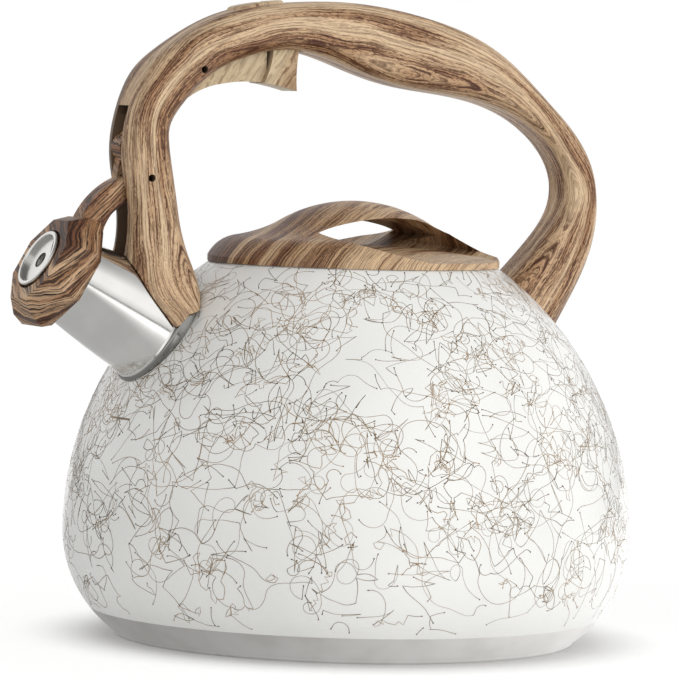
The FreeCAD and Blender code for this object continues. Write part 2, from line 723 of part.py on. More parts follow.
def make_whistle_arm():
    """Arm and octagonal housing, moulded in one, open at the back for the spout's mouth."""
    arm = new_body("arm_beam")
    pad(arm, outline(arm, "ArmSide", "XZ_Plane", arm_corners()), "2 * arm_half", symmetric=True)
    housing = doc.addObject("Part::Loft", "housing_form")
    housing.Sections = [
        octagon("housing_rear_section", "housing_back", "housing_rear"),
        octagon("housing_belt_section", "housing_back + housing_belt", "housing_half"),
        octagon("housing_crown_section", "housing_back + housing_crown", "housing_crown_half"),
        octagon("housing_front_section", "housing_back + housing_length", "housing_front"),
    ]
    housing.Solid = True
    housing.Ruled = True
    on_spout_axis(housing)
    blank = doc.addObject("Part::MultiFuse", "arm_blank")
    blank.Shapes = [arm, housing]
    tools = [
        spout_cylinder("housing_bore", "spout_mouth + mouth_gap", "housing_back - 6",
                       "spout_length + 1 - housing_back + 6"),
        spout_cylinder("whistle_bore", "whistle_radius + whistle_gap", "spout_length",
                       "housing_length + 10"),
        cross_hole("arm_hub_bore", ARM_X, ARM_Z, "pin_radius + pin_play"),
        cross_hole("spring_well", ARM_X, ARM_Z, "well_radius", back="well_depth - arm_half"),
        make_arm_pocket(),
    ]
    return cut("whistle_arm", blank, *tools)


def make_arm_pocket():
    """Triangular pocket moulded in the near face of the arm, in front of its pin."""
    body = new_body("arm_pocket")
    corners = [
        near(ARM_X, ARM_Z, "-14", "5.4"),
        near(ARM_X, ARM_Z, "-3.4", "6.8"),
        near(ARM_X, ARM_Z, "-4.4", "1.2"),
        near(ARM_X, ARM_Z, "-14", "-2.2"),
    ]
    side = outline(body, "PocketSide", "XZ_Plane", corners, lift="arm_half - arm_pocket")
    pad(body, side, "arm_pocket + 5")
    return body


def make_whistle_cup():
    """Steel cup with a rolled rim; its floor is the whistle's inner wall."""
    body = new_body("whistle_cup")
    face = "(housing_back + housing_length + whistle_proud)"
    inner = "whistle_radius - whistle_wall"
    corners = [
        (inner, "spout_length + 1"),
        ("whistle_radius", "spout_length + 1"),
        ("whistle_radius", f"{face} - whistle_wall", "whistle_wall"),
        ("whistle_radius - whistle_wall", face),
        ("whistle_radius - 2 * whistle_wall", face, "whistle_wall"),
        ("whistle_radius - 3 * whistle_wall", f"{face} - whistle_wall"),
        ("whistle_radius - 3 * whistle_wall", f"{face} - 3 * whistle_wall"),
        (inner, f"{face} - 3 * whistle_wall"),
        (inner, f"{face} - 10 * whistle_wall"),
        ("whistle_hole", f"{face} - 10 * whistle_wall"),
        ("whistle_hole", f"{face} - 11 * whistle_wall"),
        (inner, f"{face} - 11 * whistle_wall"),
    ]
    revolve(body, outline(body, "CupWall", "XZ_Plane", corners))
    on_spout_axis(body)
    return body


def make_front_plate():
    """Whistle's outer plate: a hole in the middle and a crescent left open at one side."""
    body = new_body("whistle_front_plate")
    level = "housing_back + housing_length + whistle_proud - 4 * whistle_wall"
    disc = circles(body, "Plate", "XY_Plane", [("0", "0")], "whistle_radius - whistle_wall", lift=level)
    pad(body, disc, "whistle_wall")
    pocket(body, circles(body, "Hole", "XY_Plane", [("0", "0")], "whistle_hole + 0.7", lift=level),
           "whistle_wall", name="SteamHole", backwards=True)
    reach = "(whistle_radius - 3.4 * whistle_wall)"
    ends = [
        (f"{reach} * cos(crescent_start)", f"-1 * {reach} * sin(crescent_start)", f"-{reach}"),
        (f"{reach} * cos(crescent_end)", f"-1 * {reach} * sin(crescent_end)"),
    ]
    bite = outline(body, "Crescent", "XY_Plane", ends, lift=level)
    pocket(body, bite, "whistle_wall", name="CrescentOpening", backwards=True)
    on_spout_axis(body)
    return body


def make_rear_plate():
    """Steel plug that closes the spout's mouth, with the steam hole."""
    body = new_body("whistle_rear_plate")
    plug = "spout_mouth - spout_wall - plug_gap"
    seat = "spout_length + 1"
    corners = [
        ("whistle_hole", f"{seat} - whistle_wall - plug_depth"),
        (plug, f"{seat} - whistle_wall - plug_depth"),
        (plug, f"{seat} - whistle_wall"),
        ("spout_mouth + mouth_gap", f"{seat} - whistle_wall"),
        ("spout_mouth + mouth_gap", seat),
        (f"{plug} - whistle_wall", seat),
        (f"{plug} - whistle_wall", f"{seat} - plug_depth"),
        ("whistle_hole", f"{seat} - plug_depth"),
    ]
    revolve(body, outline(body, "PlugWall", "XZ_Plane", corners))
    on_spout_axis(body)
    return body


def make_arm_spring():
    """Torsion spring round the arm pin, in the well of the knuckle: one end turns with the arm, the
    other stands in the far cheek."""
    wire = number("spring_wire")
    coil = number("spring_coil")
    pitch = wire * 2.25
    length = pitch * SPRING_TURNS
    helix = Part.makeHelix(pitch, length, coil)
    ring = Part.makeCircle(wire, V(coil, 0, 0), V(0, 1, pitch / (2 * math.pi * coil)))
    coils = Part.Wire(helix).makePipeShell([Part.Wire(ring)], True, True)
    end = wire * 0.98
    leg = Part.makeCylinder(end, number("well_radius") - coil - 0.1, V(coil, -0.1, 0.05), V(1, 0, 0))
    peg = Part.makeCylinder(end, number("spring_peg"), V(coil, 0, length - 0.2), V(0, 0, 1))
    spring = doc.addObject("Part::Feature", "arm_spring")
    spring.Label = "arm_spring"
    spring.Shape = coils.fuse([leg, peg])
    seat = number("arm_half - well_depth") + 2 * wire
    spring.Placement = FreeCAD.Placement(
        V(number(ARM_X), seat, number(ARM_Z)), FreeCAD.Rotation(V(1, 0, 0), -90)
    )
    return spring


def make_trigger():
    """Trigger: a thin web from the nose past the pin, and a wide finger pad at the back."""
    body = new_body("trigger_blank")
    nose = (f"({ARM_X} + nose_side)", f"({ARM_Z} + nose_rise)")
    web = [
        near(*nose, "-1", "1.6"),
        near(*nose, "-1.5 + nose_radius * 1.5", "-1.4"),
        near(TRIGGER_X, TRIGGER_Z, "-11.4", "-18.3"),
        near(TRIGGER_X, TRIGGER_Z, "-5.9", "-13.3") + ("-30",),
        near(TRIGGER_X, TRIGGER_Z, "10.2", "-5.2") + ("-60",),
        near(TRIGGER_X, TRIGGER_Z, "pad_front + 2", "-4.3"),
        near(TRIGGER_X, TRIGGER_Z, "pad_front + 2", "10.4"),
        near(TRIGGER_X, TRIGGER_Z, "8", "7") + ("30",),
        near(TRIGGER_X, TRIGGER_Z, "-3.5", "4.5"),
        near(TRIGGER_X, TRIGGER_Z, "-9.5", "-7"),
        near(TRIGGER_X, TRIGGER_Z, "-14.4", "-19.6"),
    ]
    pad(body, outline(body, "WebSide", "XZ_Plane", web), "2 * arm_half", name="Web", symmetric=True)
    tip = circles(body, "NoseTip", "XZ_Plane", [nose], "nose_radius")
    pad(body, tip, "2 * arm_half", name="Nose", symmetric=True)
    finger = [
        near(TRIGGER_X, TRIGGER_Z, "pad_front", "-4.3") + ("-90",),
        near(TRIGGER_X, TRIGGER_Z, "pad_back - 0.6", "-7") + ("-60",),
        near(TRIGGER_X, TRIGGER_Z, "pad_back", "8.8"),
        near(TRIGGER_X, TRIGGER_Z, "pad_front + 3.6", "10") + ("-30",),
    ]
    pad(body, outline(body, "PadSide", "XZ_Plane", finger), "2 * pad_half", name="FingerPad", symmetric=True)
    hole = cross_hole("trigger_bore", TRIGGER_X, TRIGGER_Z, "pin_radius + pin_play")
    return cut("trigger", body, hole)


def make_lid_cover():
    """Moulded lid: a domed cap scooped out from both sides, which leaves a bridge to lift it by."""
    body = new_body("lid_dome")
    crown_arc = "(crown_radius^2 + crown_rise^2) / (2 * crown_rise)"
    under = f"{SEAT} + lid_gap + plate_wall"
    corners = [
        ("0", under),
        ("seat_radius - 0.2", under),
        ("lid_radius - 0.5", f"{SEAT} - 1.25"),
        ("lid_radius", f"{SEAT} - 1.25"),
        ("lid_radius", f"{SEAT} + 1", "14"),
        ("lid_radius - 10.3", f"{SEAT} + 8.6", "-52"),
        ("crown_radius", f"{SEAT} + lid_height - crown_rise", f"{crown_arc}"),
        ("0", f"{SEAT} + lid_height"),
    ]
    revolve(body, outline(body, "Dome", "XZ_Plane", corners))
    floor = make_scoop_floor()
    tools = [
        cut(name + "_space", lens(name, kind, side), floor)
        for name, kind, side in (("near_scoop", "near", 1), ("far_scoop", "far", -1), ("finger_hole", "tunnel", 0))
    ]
    return cut("lid_cover", body, *tools, make_slope(), lid_screw_holes())


def make_slope():
    """Takes the shoulder off the lid where the near scoop runs out."""
    body = new_body("lid_slope")
    steep = "(slope_top - slope_rim) / (lid_radius - slope_start)"
    corners = [
        ("slope_start - 5", f"{SEAT} + slope_top + 5 * {steep}"),
        ("lid_radius + 5", f"{SEAT} + slope_rim - 5 * {steep}"),
        ("lid_radius + 5", f"{SEAT} + lid_height"),
        ("slope_start - 5", f"{SEAT} + lid_height"),
    ]
    pad(body, outline(body, "SlopeSide", "XZ_Plane", corners), "2 * lid_radius", symmetric=True)
    body.Placement.Rotation = FreeCAD.Rotation(V(0, 0, -1), 1)
    body.setExpression("Placement.Rotation.Angle", cells("slope_turn"))
    return body


def make_scoop_floor():
    """The low dome that the scoops stop at."""
    body = new_body("scoop_floor")
    fall = "(floor_top - floor_edge)"
    corners = [
        ("0", f"{SEAT} - 12"),
        ("lid_radius", f"{SEAT} - 12"),
        ("lid_radius", f"{SEAT} + floor_edge", f"(lid_radius^2 + {fall}^2) / (2 * {fall})"),
        ("0", f"{SEAT} + floor_top"),
    ]
    revolve(body, outline(body, "ScoopFloor", "XZ_Plane", corners))
    return body


def lens(name, kind, side):
    """A lens-shaped tool; side is 1 towards -Y, -1 towards +Y and 0 on the middle."""
    body = new_body(name)
    radius = f"({kind}_radius^2 + {kind}_high^2) / (2 * {kind}_high)"
    corners = [("0", f"-1 * {kind}_high", radius), (f"{kind}_radius", "0", radius), ("0", f"{kind}_high")]
    revolve(body, outline(body, name + "_outline", "XZ_Plane", corners))
    body.setExpression("Placement.Base.z", cells(f"{SEAT} + {kind}_rise"))
    if side:
        body.Placement.Rotation = FreeCAD.Rotation(V(side, side, 0), 1)
        body.setExpression("Placement.Rotation.Axis.x", cells(f"{side} * sin(scoop_downhill)"))
        body.setExpression("Placement.Rotation.Axis.y", cells(f"{side} * cos(scoop_downhill)"))
        body.setExpression("Placement.Rotation.Angle", cells("scoop_lean"))
        body.setExpression("Placement.Base.x", cells(f"{side} * {kind}_right"))
        body.setExpression("Placement.Base.y", cells(f"{-side} * {kind}_out"))
    return body


def lid_screw_spots():
    return [(f"lid_screw_circle * {round(math.cos(math.radians(a)), 4)}",
             f"lid_screw_circle * {round(math.sin(math.radians(a)), 4)}") for a in (90, 210, 330)]


def lid_screw_holes():
    holes = new_body("lid_screw_holes")
    spots = circles(holes, "Holes", "XY_Plane", lid_screw_spots(), "screw_radius * 0.8",
                    lift=f"{SEAT} + lid_gap")
    pad(holes, spots, "plate_wall + 3")
    return holes


def make_lid_plate():
    """Steel underside of the lid, with the shallow plug that sits in the neck."""
    body = new_body("lid_plate")
    plug = "(neck_radius - lid_play)"
    low = f"{SEAT} + lid_gap"
    corners = [
        ("0", f"{SEAT} - plug_drop + 1.5"),
        ("lid_screw_circle + 8", f"{SEAT} - plug_drop + 1.5"),
        ("lid_screw_circle + 12", f"{SEAT} - plug_drop"),
        (f"{plug} - 2", f"{SEAT} - plug_drop", "2"),
        (plug, f"{SEAT} - plug_drop + 2"),
        (plug, low),
        ("seat_radius - 0.2", low),
        ("seat_radius - 0.2", f"{low} + plate_wall"),
        (f"{plug} - plate_wall", f"{low} + plate_wall"),
        (f"{plug} - plate_wall", f"{SEAT} - plug_drop + 2.6"),
        ("lid_screw_circle + 12.6", f"{SEAT} - plug_drop + plate_wall"),
        ("lid_screw_circle + 8", f"{SEAT} - plug_drop + 1.5 + plate_wall"),
        ("0", f"{SEAT} - plug_drop + 1.5 + plate_wall"),
    ]
    revolve(body, outline(body, "PlateWall", "XZ_Plane", corners))
    return body


def make_lid_seal():
    """Silicone ring on the plug, with two lips towards the neck."""
    body = new_body("lid_seal")
    inner = "(neck_radius - lid_play)"
    lip = "neck_radius - seal_gap"
    band = f"{inner} + 0.5"
    corners = [
        (inner, f"{SEAT} - 5.6"),
        (band, f"{SEAT} - 5.6"),
        (lip, f"{SEAT} - 4.6"),
        (band, f"{SEAT} - 4"),
        (band, f"{SEAT} - 3"),
        (lip, f"{SEAT} - 2"),
        (band, f"{SEAT} - 1.4"),
        (band, f"{SEAT} - 0.8"),
        (inner, f"{SEAT} - 0.8"),
    ]
    revolve(body, outline(body, "SealSection", "XZ_Plane", corners))
    return body


def make_lid_posts():
    """Spacer posts and screws that hold the plate to the cover, as one group."""
    body = new_body("lid_screws")
    level = f"{SEAT} - plug_drop + 1.5"
    heads = circles(body, "Heads", "XY_Plane", lid_screw_spots(), "head_radius", lift=f"{level} + plate_wall")
    pad(body, heads, "head_height")
    shanks = circles(body, "Shanks", "XY_Plane", lid_screw_spots(), "screw_radius * 0.8",
                     lift=f"{level} + plate_wall + head_height")
    pad(body, shanks, "plug_drop - 1.5 + lid_gap - head_height + 2.4", name="ShankPad")
    return body


def build():
    vessel = make_envelope()
    spout = make_spout_envelope()
    return [
        make_body_shell(),
        make_vessel_floor(),
        make_base_core(),
        make_base_cap(),
        make_spout_tube(vessel),
        make_handle(vessel, spout),
        make_front_bracket(vessel, spout),
        make_rear_bracket(vessel),
        make_screw("front_screw", *FRONT_SCREW),
        make_screw("rear_screw", *REAR_SCREW),
        make_pin("arm_pin", ARM_X, ARM_Z),
        make_pin("trigger_pin", TRIGGER_X, TRIGGER_Z),
        make_arm_spring(),
        make_whistle_arm(),
        make_whistle_cup(),
        make_front_plate(),
        make_rear_plate(),
        make_trigger(),
        make_lid_cover(),
        make_lid_plate(),
        make_lid_seal(),
        make_lid_posts(),
    ]


pieces = build()
doc.recompute()
for thing in doc.Objects:
    if {"Invalid", "Error"} & set(thing.State):
        raise ValueError(f"{thing.Label} failed: {thing.State}")
for piece in pieces:
    if piece.Shape.isNull() or not piece.Shape.isValid():
        raise ValueError(f"{piece.Label} is not a sound solid")

os.makedirs("parts", exist_ok=True)
for piece in pieces:
    piece.Shape.exportStep(f"parts/{piece.Label}.step")
    print(piece.Label, len(piece.Shape.Solids), round(piece.Shape.Volume))
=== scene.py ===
import math
import random
from functools import partial
from itertools import accumulate

import bmesh
import bpy
import numpy as np
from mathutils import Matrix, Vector
from mathutils.bvhtree import BVHTree


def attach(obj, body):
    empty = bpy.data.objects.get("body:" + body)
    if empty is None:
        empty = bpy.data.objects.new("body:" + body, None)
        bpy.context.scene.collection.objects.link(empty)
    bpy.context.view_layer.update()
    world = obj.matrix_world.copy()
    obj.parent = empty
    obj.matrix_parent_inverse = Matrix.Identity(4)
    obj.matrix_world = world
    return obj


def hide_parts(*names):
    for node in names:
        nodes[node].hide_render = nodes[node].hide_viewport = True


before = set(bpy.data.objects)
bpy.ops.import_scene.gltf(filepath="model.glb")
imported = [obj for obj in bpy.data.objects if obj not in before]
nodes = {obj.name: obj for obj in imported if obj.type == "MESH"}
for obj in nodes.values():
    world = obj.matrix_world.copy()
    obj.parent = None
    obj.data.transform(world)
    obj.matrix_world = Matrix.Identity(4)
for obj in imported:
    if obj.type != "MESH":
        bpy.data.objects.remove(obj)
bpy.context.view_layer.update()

mm = 0.001
toMillimetres = (1 / mm,) * 3
print("frame loaded:", len(nodes), "nodes")


def hexColour(code):  # sRGB hex made linear
    parts = [int(code[i:i + 2], 16) / 255 for i in (0, 2, 4)]
    return tuple(c / 12.92 if c <= 0.04045 else ((c + 0.055) / 1.055) ** 2.4 for c in parts) + (1.0,)


def addNode(tree, kind, inputs=None, stops=None, **settings):  # one node with its settings and links
    made = tree.nodes.new(kind)
    for key, value in settings.items():
        setattr(made, key, value)
    for key, value in (inputs or {}).items():
        if isinstance(value, bpy.types.Node):
            value = value.outputs[0]
        if isinstance(value, bpy.types.NodeSocket):
            tree.links.new(value, made.inputs[key])
        else:
            made.inputs[key].default_value = value
    if stops:
        ramp = made.color_ramp
        while len(ramp.elements) < len(stops):
            ramp.elements.new(1.0)
        for element, (place, colour) in zip(ramp.elements, stops):
            element.position = place
            element.color = colour
    return made


def newMaterial(name):
    material = bpy.data.materials.new(name)
    material.use_nodes = True
    tree = material.node_tree
    tree.nodes.clear()
    return material, tree


def closeMaterial(tree, inputs):
    shader = addNode(tree, "ShaderNodeBsdfPrincipled", inputs)
    addNode(tree, "ShaderNodeOutputMaterial", {"Surface": shader})


def objectMillimetres(tree, turn=(0, 0, 0), centre=(0, 0, 0)):  # place in mm, turned about a centre
    place = addNode(tree, "ShaderNodeTexCoord").outputs["Object"]
    moved = addNode(tree, "ShaderNodeVectorMath", {0: place, 1: [c * mm for c in centre]},
                    operation="SUBTRACT")
    return addNode(tree, "ShaderNodeMapping", {"Vector": moved, "Rotation": turn, "Scale": toMillimetres})


def stretched(tree, place, size, detail, roughness, shift=0.0):  # noise with its own grain size on each axis
    scaled = addNode(tree, "ShaderNodeVectorMath",
                     {0: place, 1: [1 / s for s in size], 2: (shift, shift, shift)}, operation="MULTIPLY_ADD")
    return addNode(tree, "ShaderNodeTexNoise",
                   {"Vector": scaled, "Scale": 1.0, "Detail": detail, "Roughness": roughness})


softStep = {"interpolation_type": "SMOOTHSTEP"}
clouding = {"From Min": 0.3, "From Max": 0.7}  # where in a cloud noise one colour turns to the other

woodPattern = {
    # noise laid along the grain lines: mm along them, lines across them, roughness, shift
    "layers": {"broad": (70, 3.4, 0.5, 3.1), "drift": (60, 5, 0.5, 6.4), "breaks": (3.4, 0.5, 0.65, 5.2),
               "streaks": (14, 0.24, 0.6, 7.7)},
    # where each part of the print begins and where it is full
    "masks": {"rise": (0.50, 0.84), "fall": (1.0, 0.93), "brown": (0.40, 0.60), "breaks": (0.38, 0.50),
              "force": (0.34, 0.52), "streaks": (0.50, 0.57), "pores": (0.52, 0.62)},
    "stops": {"pale": 0.38, "light": 0.52, "brown": 0.63, "dark": 0.76},  # where in the broad noise each lies
    "ripple": (13, 5, 5), "fibre": (1.7, 0.36, 0.36), "force": 26.0,  # mm
    "speckle": (0.7, 0.3),  # how many more pores the brown bands show, and how many the pale wood shows
    "roughness": (0.42, 0.58),
    "groove": 0.6, "relief": 0.05,  # depth of the lines against the fibres, and of both, mm
}
# Five colours, then: step, the mean distance between dark lines; figure, how far the lines drift, in lines;
# bow and sway, the size of the long bends and their push; quiver, the push of the short ones; crowd, what the
# pale wood keeps of the lines and streaks; pith, a point on the rings' axis; lines, streaks and pores, their
# strength; turn and centre, where the grain's own axes lie. Lengths are in mm.
woodLooks = {
    # the handle's bare is painted shade: a darker brown on the pin bores, the slot's walls and the far cheek's
    # front edge
    "handle": {"pale": "d8bc99", "light": "c5a480", "brown": "a98360", "dark": "876041", "vein": "431e0a",
               "bare": "6e5a47", "crowd": 0.5, "step": 1.25, "figure": 3.6, "bow": (42, 16, 16), "sway": 5,
               "quiver": 1.1, "pith": (0, -9, -16), "lines": 1.0, "streaks": 0.8, "pores": 0.75,
               "shift": 2.0},
    "housing": {"pale": "d0ad89", "light": "a27854", "brown": "774d32", "dark": "533422", "vein": "260f05",
                "crowd": 1.0, "step": 1.35, "figure": 3.0, "bow": (34, 24, 24), "sway": 4, "quiver": 1.3,
                "pith": (0, 40, -220), "lines": 1.0, "streaks": 0.85, "pores": 0.75, "shift": 5.0,
                "turn": (0, math.radians(42), 0), "centre": (-125, 0, 150)},
    "lid": {"pale": "d2b38e", "light": "b58f69", "brown": "92694a", "dark": "744c33", "vein": "36170a",
            "crowd": 0.55, "fade": 0.0032, "step": 1.4, "figure": 3.0, "bow": (50, 30, 30), "sway": 5,
            "quiver": 1.2, "pith": (0, 290, 150), "lines": 1.0, "streaks": 0.8, "pores": 0.75, "shift": 9.0,
            "turn": (0, 0, math.radians(-42)), "centre": (0, 0, 150)},
    "trigger": {"pale": "cdbb9b", "light": "c2ad8b", "brown": "b69c7a", "dark": "9f8262", "vein": "5f3c22",
                "crowd": 0.5, "step": 1.7, "figure": 2.4, "bow": (34, 20, 20), "sway": 6, "quiver": 0.8,
                "pith": (0, 60, -40), "lines": 0.75, "streaks": 0.35, "pores": 0.4, "shift": 12.0,
                "turn": (0, math.radians(50), 0), "centre": (-50, 0, 213)},
}


# Moulded ABS with a wood print under satin lacquer: thin dark lines that follow the part, some bunched
# into brown bands, pale wood between them, short broken fibres, and a soft sheen.
def woodPrint(name, look):
    material, tree = newMaterial(name)
    add = partial(addNode, tree)
    if "turn" in look:
        place = objectMillimetres(tree, look["turn"], look["centre"])
    else:
        grain = add("ShaderNodeAttribute", attribute_name="grain").outputs["Vector"]
        place = add("ShaderNodeVectorMath", {0: grain, 1: toMillimetres}, operation="MULTIPLY")
    for size, push in ((look["bow"], look["sway"]), (woodPattern["ripple"], look["quiver"])):
        noise = stretched(tree, place, size, 1.5, 0.5, look["shift"]).outputs["Color"]
        centred = add("ShaderNodeVectorMath", {0: noise, 1: (0.5, 0.5, 0.5)}, operation="SUBTRACT")
        place = add("ShaderNodeVectorMath", {0: centred, 1: (0, push, push), 2: place},
                    operation="MULTIPLY_ADD")

    # year rings round a pith, cut by the surface; step is the mean distance between dark lines in mm
    step = look["step"]
    pith = add("ShaderNodeVectorMath", {0: place, 1: look["pith"]}, operation="SUBTRACT")
    flat = add("ShaderNodeVectorMath", {0: pith, 1: (0, 1, 1)}, operation="MULTIPLY")
    ring = add("ShaderNodeVectorMath", {0: flat}, operation="LENGTH").outputs["Value"]
    axes = add("ShaderNodeSeparateXYZ", {0: place}).outputs
    sheet = add("ShaderNodeCombineXYZ", {0: axes["X"], 1: ring, 2: look["shift"]})
    layers = {}
    for label, (along, lines, roughness, shift) in woodPattern["layers"].items():
        layers[label] = stretched(tree, sheet, (along, step * lines, 1), 2.0, roughness, shift)
    broad = layers["broad"]
    if "fade" in look:  # paler towards one side
        broad = add("ShaderNodeMath", {0: axes["Y"], 1: look["fade"], 2: broad}, operation="MULTIPLY_ADD")
    fibres = stretched(tree, place, woodPattern["fibre"], 2.0, 0.6, 1.3)

    # each ring has a number, which sets how strong its line is
    rings = add("ShaderNodeMath", {0: ring, 1: step}, operation="DIVIDE")
    phase = add("ShaderNodeMath", {0: layers["drift"], 1: look["figure"], 2: rings}, operation="MULTIPLY_ADD")
    saw = add("ShaderNodeMath", {0: phase}, operation="FRACT")
    number = add("ShaderNodeMath", {0: phase}, operation="FLOOR")
    reach = add("ShaderNodeMath", {0: axes["X"], 1: woodPattern["force"]}, operation="DIVIDE")
    numbered = add("ShaderNodeCombineXYZ", {0: reach, 1: number})
    force = add("ShaderNodeTexNoise", {"Vector": numbered, "Scale": 1.0, "Detail": 1.0})
    masks = {}
    for label, value in (("rise", saw), ("fall", saw), ("brown", broad), ("breaks", layers["breaks"]),
                         ("force", force), ("streaks", layers["streaks"]), ("pores", fibres)):
        low, high = woodPattern["masks"][label]
        masks[label] = add("ShaderNodeMapRange", {"Value": value, "From Min": low, "From Max": high},
                           **softStep)
    crowd = add("ShaderNodeMapRange", {"Value": masks["brown"], "To Min": look["crowd"]})
    stroke = add("ShaderNodeMath", {0: masks["rise"], 1: masks["fall"]}, operation="MULTIPLY")
    broken = add("ShaderNodeMath", {0: masks["breaks"], 1: masks["force"]}, operation="MULTIPLY")
    crowded = add("ShaderNodeMath", {0: broken, 1: crowd}, operation="MULTIPLY")
    line = add("ShaderNodeMath", {0: stroke, 1: crowded}, operation="MULTIPLY")
    streaks = add("ShaderNodeMath", {0: masks["streaks"], 1: crowd}, operation="MULTIPLY")
    more, least = woodPattern["speckle"]
    speckled = add("ShaderNodeMath", {0: masks["brown"], 1: more, 2: least}, operation="MULTIPLY_ADD")
    pores = add("ShaderNodeMath", {0: masks["pores"], 1: speckled}, operation="MULTIPLY")

    wood = add("ShaderNodeValToRGB", {"Fac": broad}, stops=[
        (spot, hexColour(look[shade])) for shade, spot in woodPattern["stops"].items()])
    for mask, label in ((streaks, "streaks"), (line, "lines"), (pores, "pores")):
        share = add("ShaderNodeMath", {0: mask, 1: look[label]}, operation="MULTIPLY")
        wood = add("ShaderNodeMix", {0: share, 6: wood, 7: hexColour(look["vein"])},
                   data_type="RGBA").outputs[2]
    if "bare" in look:  # painted shade: a darker brown where the faces are marked inner
        inner = add("ShaderNodeAttribute", attribute_name="inner").outputs["Fac"]
        wood = add("ShaderNodeMix", {0: inner, 6: wood, 7: hexColour(look["bare"])},
                   data_type="RGBA").outputs[2]
    smooth, rough = woodPattern["roughness"]
    roughness = add("ShaderNodeMapRange", {"Value": fibres, "To Min": smooth, "To Max": rough})
    groove = add("ShaderNodeMath", {0: line, 1: woodPattern["groove"]}, operation="MULTIPLY")
    height = add("ShaderNodeMath", {0: fibres, 1: groove}, operation="SUBTRACT")
    bump = add("ShaderNodeBump", {"Strength": 0.5, "Distance": woodPattern["relief"] * mm, "Height": height})
    closeMaterial(tree, {"Base Color": wood, "Roughness": roughness, "IOR": 1.42, "Normal": bump,
                         "Coat Weight": 0.04, "Coat Roughness": 0.3})
    return material


handleWood = woodPrint("ABS, wood print, satin lacquer", woodLooks["handle"])
housingWood = woodPrint("ABS, dark wood print, satin lacquer", woodLooks["housing"])
lidWood = woodPrint("ABS, brown wood print, satin lacquer", woodLooks["lid"])
triggerWood = woodPrint("ABS, pale wood print, satin lacquer", woodLooks["trigger"])
insertLook = {**woodLooks["trigger"], "pale": "d6bf9d", "light": "c8ad8a", "step": 2.6, "shift": 4.0}
insertWood = woodPrint("ABS, plain wood print, satin lacquer", insertLook)

steelLooks = {  # grain is the size of the fine lines on each axis, and collar a ring's two radii: mm
    "polished": {"colour": "ecebe8", "deep": "e4e3e0", "grain": (30, 0.4, 0.4), "smooth": 0.08, "rough": 0.16,
                 "bump": 0.1, "turn": (0, math.radians(-30), 0), "centre": (-82, 0, 115.2),
                 "collar": (19.8, 20.1), "ringColour": "8f8e8b"},
    "mirror": {"colour": "dcdbd7", "deep": "d4d2ce", "grain": (3, 3, 3), "smooth": 0.20, "rough": 0.24,
               "bump": 0.02},
    "turned": {"colour": "dedcd9", "deep": "d4d2ce", "grain": (40, 40, 0.35), "smooth": 0.30, "rough": 0.42,
               "bump": 0.3},
    "pressed": {"colour": "cfcdc8", "deep": "c1bfb9", "grain": (2.2, 2.2, 2.2), "smooth": 0.22, "rough": 0.34,
                "bump": 0.2},
    "bare": {"colour": "b8b5b0", "deep": "a9a6a0", "grain": (40, 40, 0.6), "smooth": 0.28, "rough": 0.42,
             "bump": 0.3},
    # painted shade: the pins are near black so the bores they sit in look dark
    "paintedBoreShade": {"colour": "2c2a28", "deep": "1c1b1a", "grain": (1, 1, 1), "smooth": 0.4, "rough": 0.55,
                 "bump": 0.2},
}
steelRelief = {"clouds": (14, 14, 14), "lines": 0.01}  # mm


# Drawn, pressed or turned metal, polished or satin: fine lines that follow the way the piece was worked.
def steel(name, look):
    material, tree = newMaterial(name)
    add = partial(addNode, tree)
    place = objectMillimetres(tree, look.get("turn", (0, 0, 0)), look.get("centre", (0, 0, 0)))
    lines = stretched(tree, place, look["grain"], 2.0, 0.6)
    clouds = stretched(tree, place, steelRelief["clouds"], 2.0, 0.5, 2.2)
    cloudy = add("ShaderNodeMapRange", {"Value": clouds, **clouding}, **softStep)
    colour = add("ShaderNodeMix", {0: cloudy, 6: hexColour(look["colour"]), 7: hexColour(look["deep"])},
                 data_type="RGBA").outputs[2]
    if "collar" in look:  # a satin welded ring round the foot of a polished tube
        across = add("ShaderNodeVectorMath", {0: place, 1: (0, 1, 1)}, operation="MULTIPLY")
        reach = add("ShaderNodeVectorMath", {0: across}, operation="LENGTH").outputs["Value"]
        inner, outer = look["collar"]
        ring = add("ShaderNodeMapRange", {"Value": reach, "From Min": inner, "From Max": outer}, **softStep)
        colour = add("ShaderNodeMix", {0: ring, 6: colour, 7: hexColour(look["ringColour"])},
                     data_type="RGBA").outputs[2]
    rough = add("ShaderNodeMapRange", {"Value": lines, "To Min": look["smooth"], "To Max": look["rough"]})
    bump = add("ShaderNodeBump",
               {"Strength": look["bump"], "Distance": steelRelief["lines"] * mm, "Height": lines})
    closeMaterial(tree, {"Base Color": colour, "Metallic": 1.0, "Roughness": rough, "Normal": bump})
    return material


polishedSteel = steel("Stainless steel, polished", steelLooks["polished"])
mirrorSteel = steel("Stainless steel, buffed", steelLooks["mirror"])
turnedSteel = steel("Stainless steel, turned satin", steelLooks["turned"])
pressedSteel = steel("Stainless steel, pressed satin", steelLooks["pressed"])
bareSteel = steel("Stainless steel, drawn", steelLooks["bare"])
# painted shade: near-black steel for the pins, so their bores look dark
boreShadeSteel = steel("Steel, near black as painted bore shade", steelLooks["paintedBoreShade"])
pressedAluminium = steel("Aluminium, pressed", {**steelLooks["bare"], "colour": "c6c7c9", "deep": "b6b7ba"})

enamel = {"white": "ecece9", "shade": "e6e6e3", "steel": "b5b2ad", "smooth": 0.20, "rough": 0.27,
          "middle": 60, "clouds": (45, 45, 45), "peel": (1.6, 1.6, 1.6), "relief": 0.02}  # mm


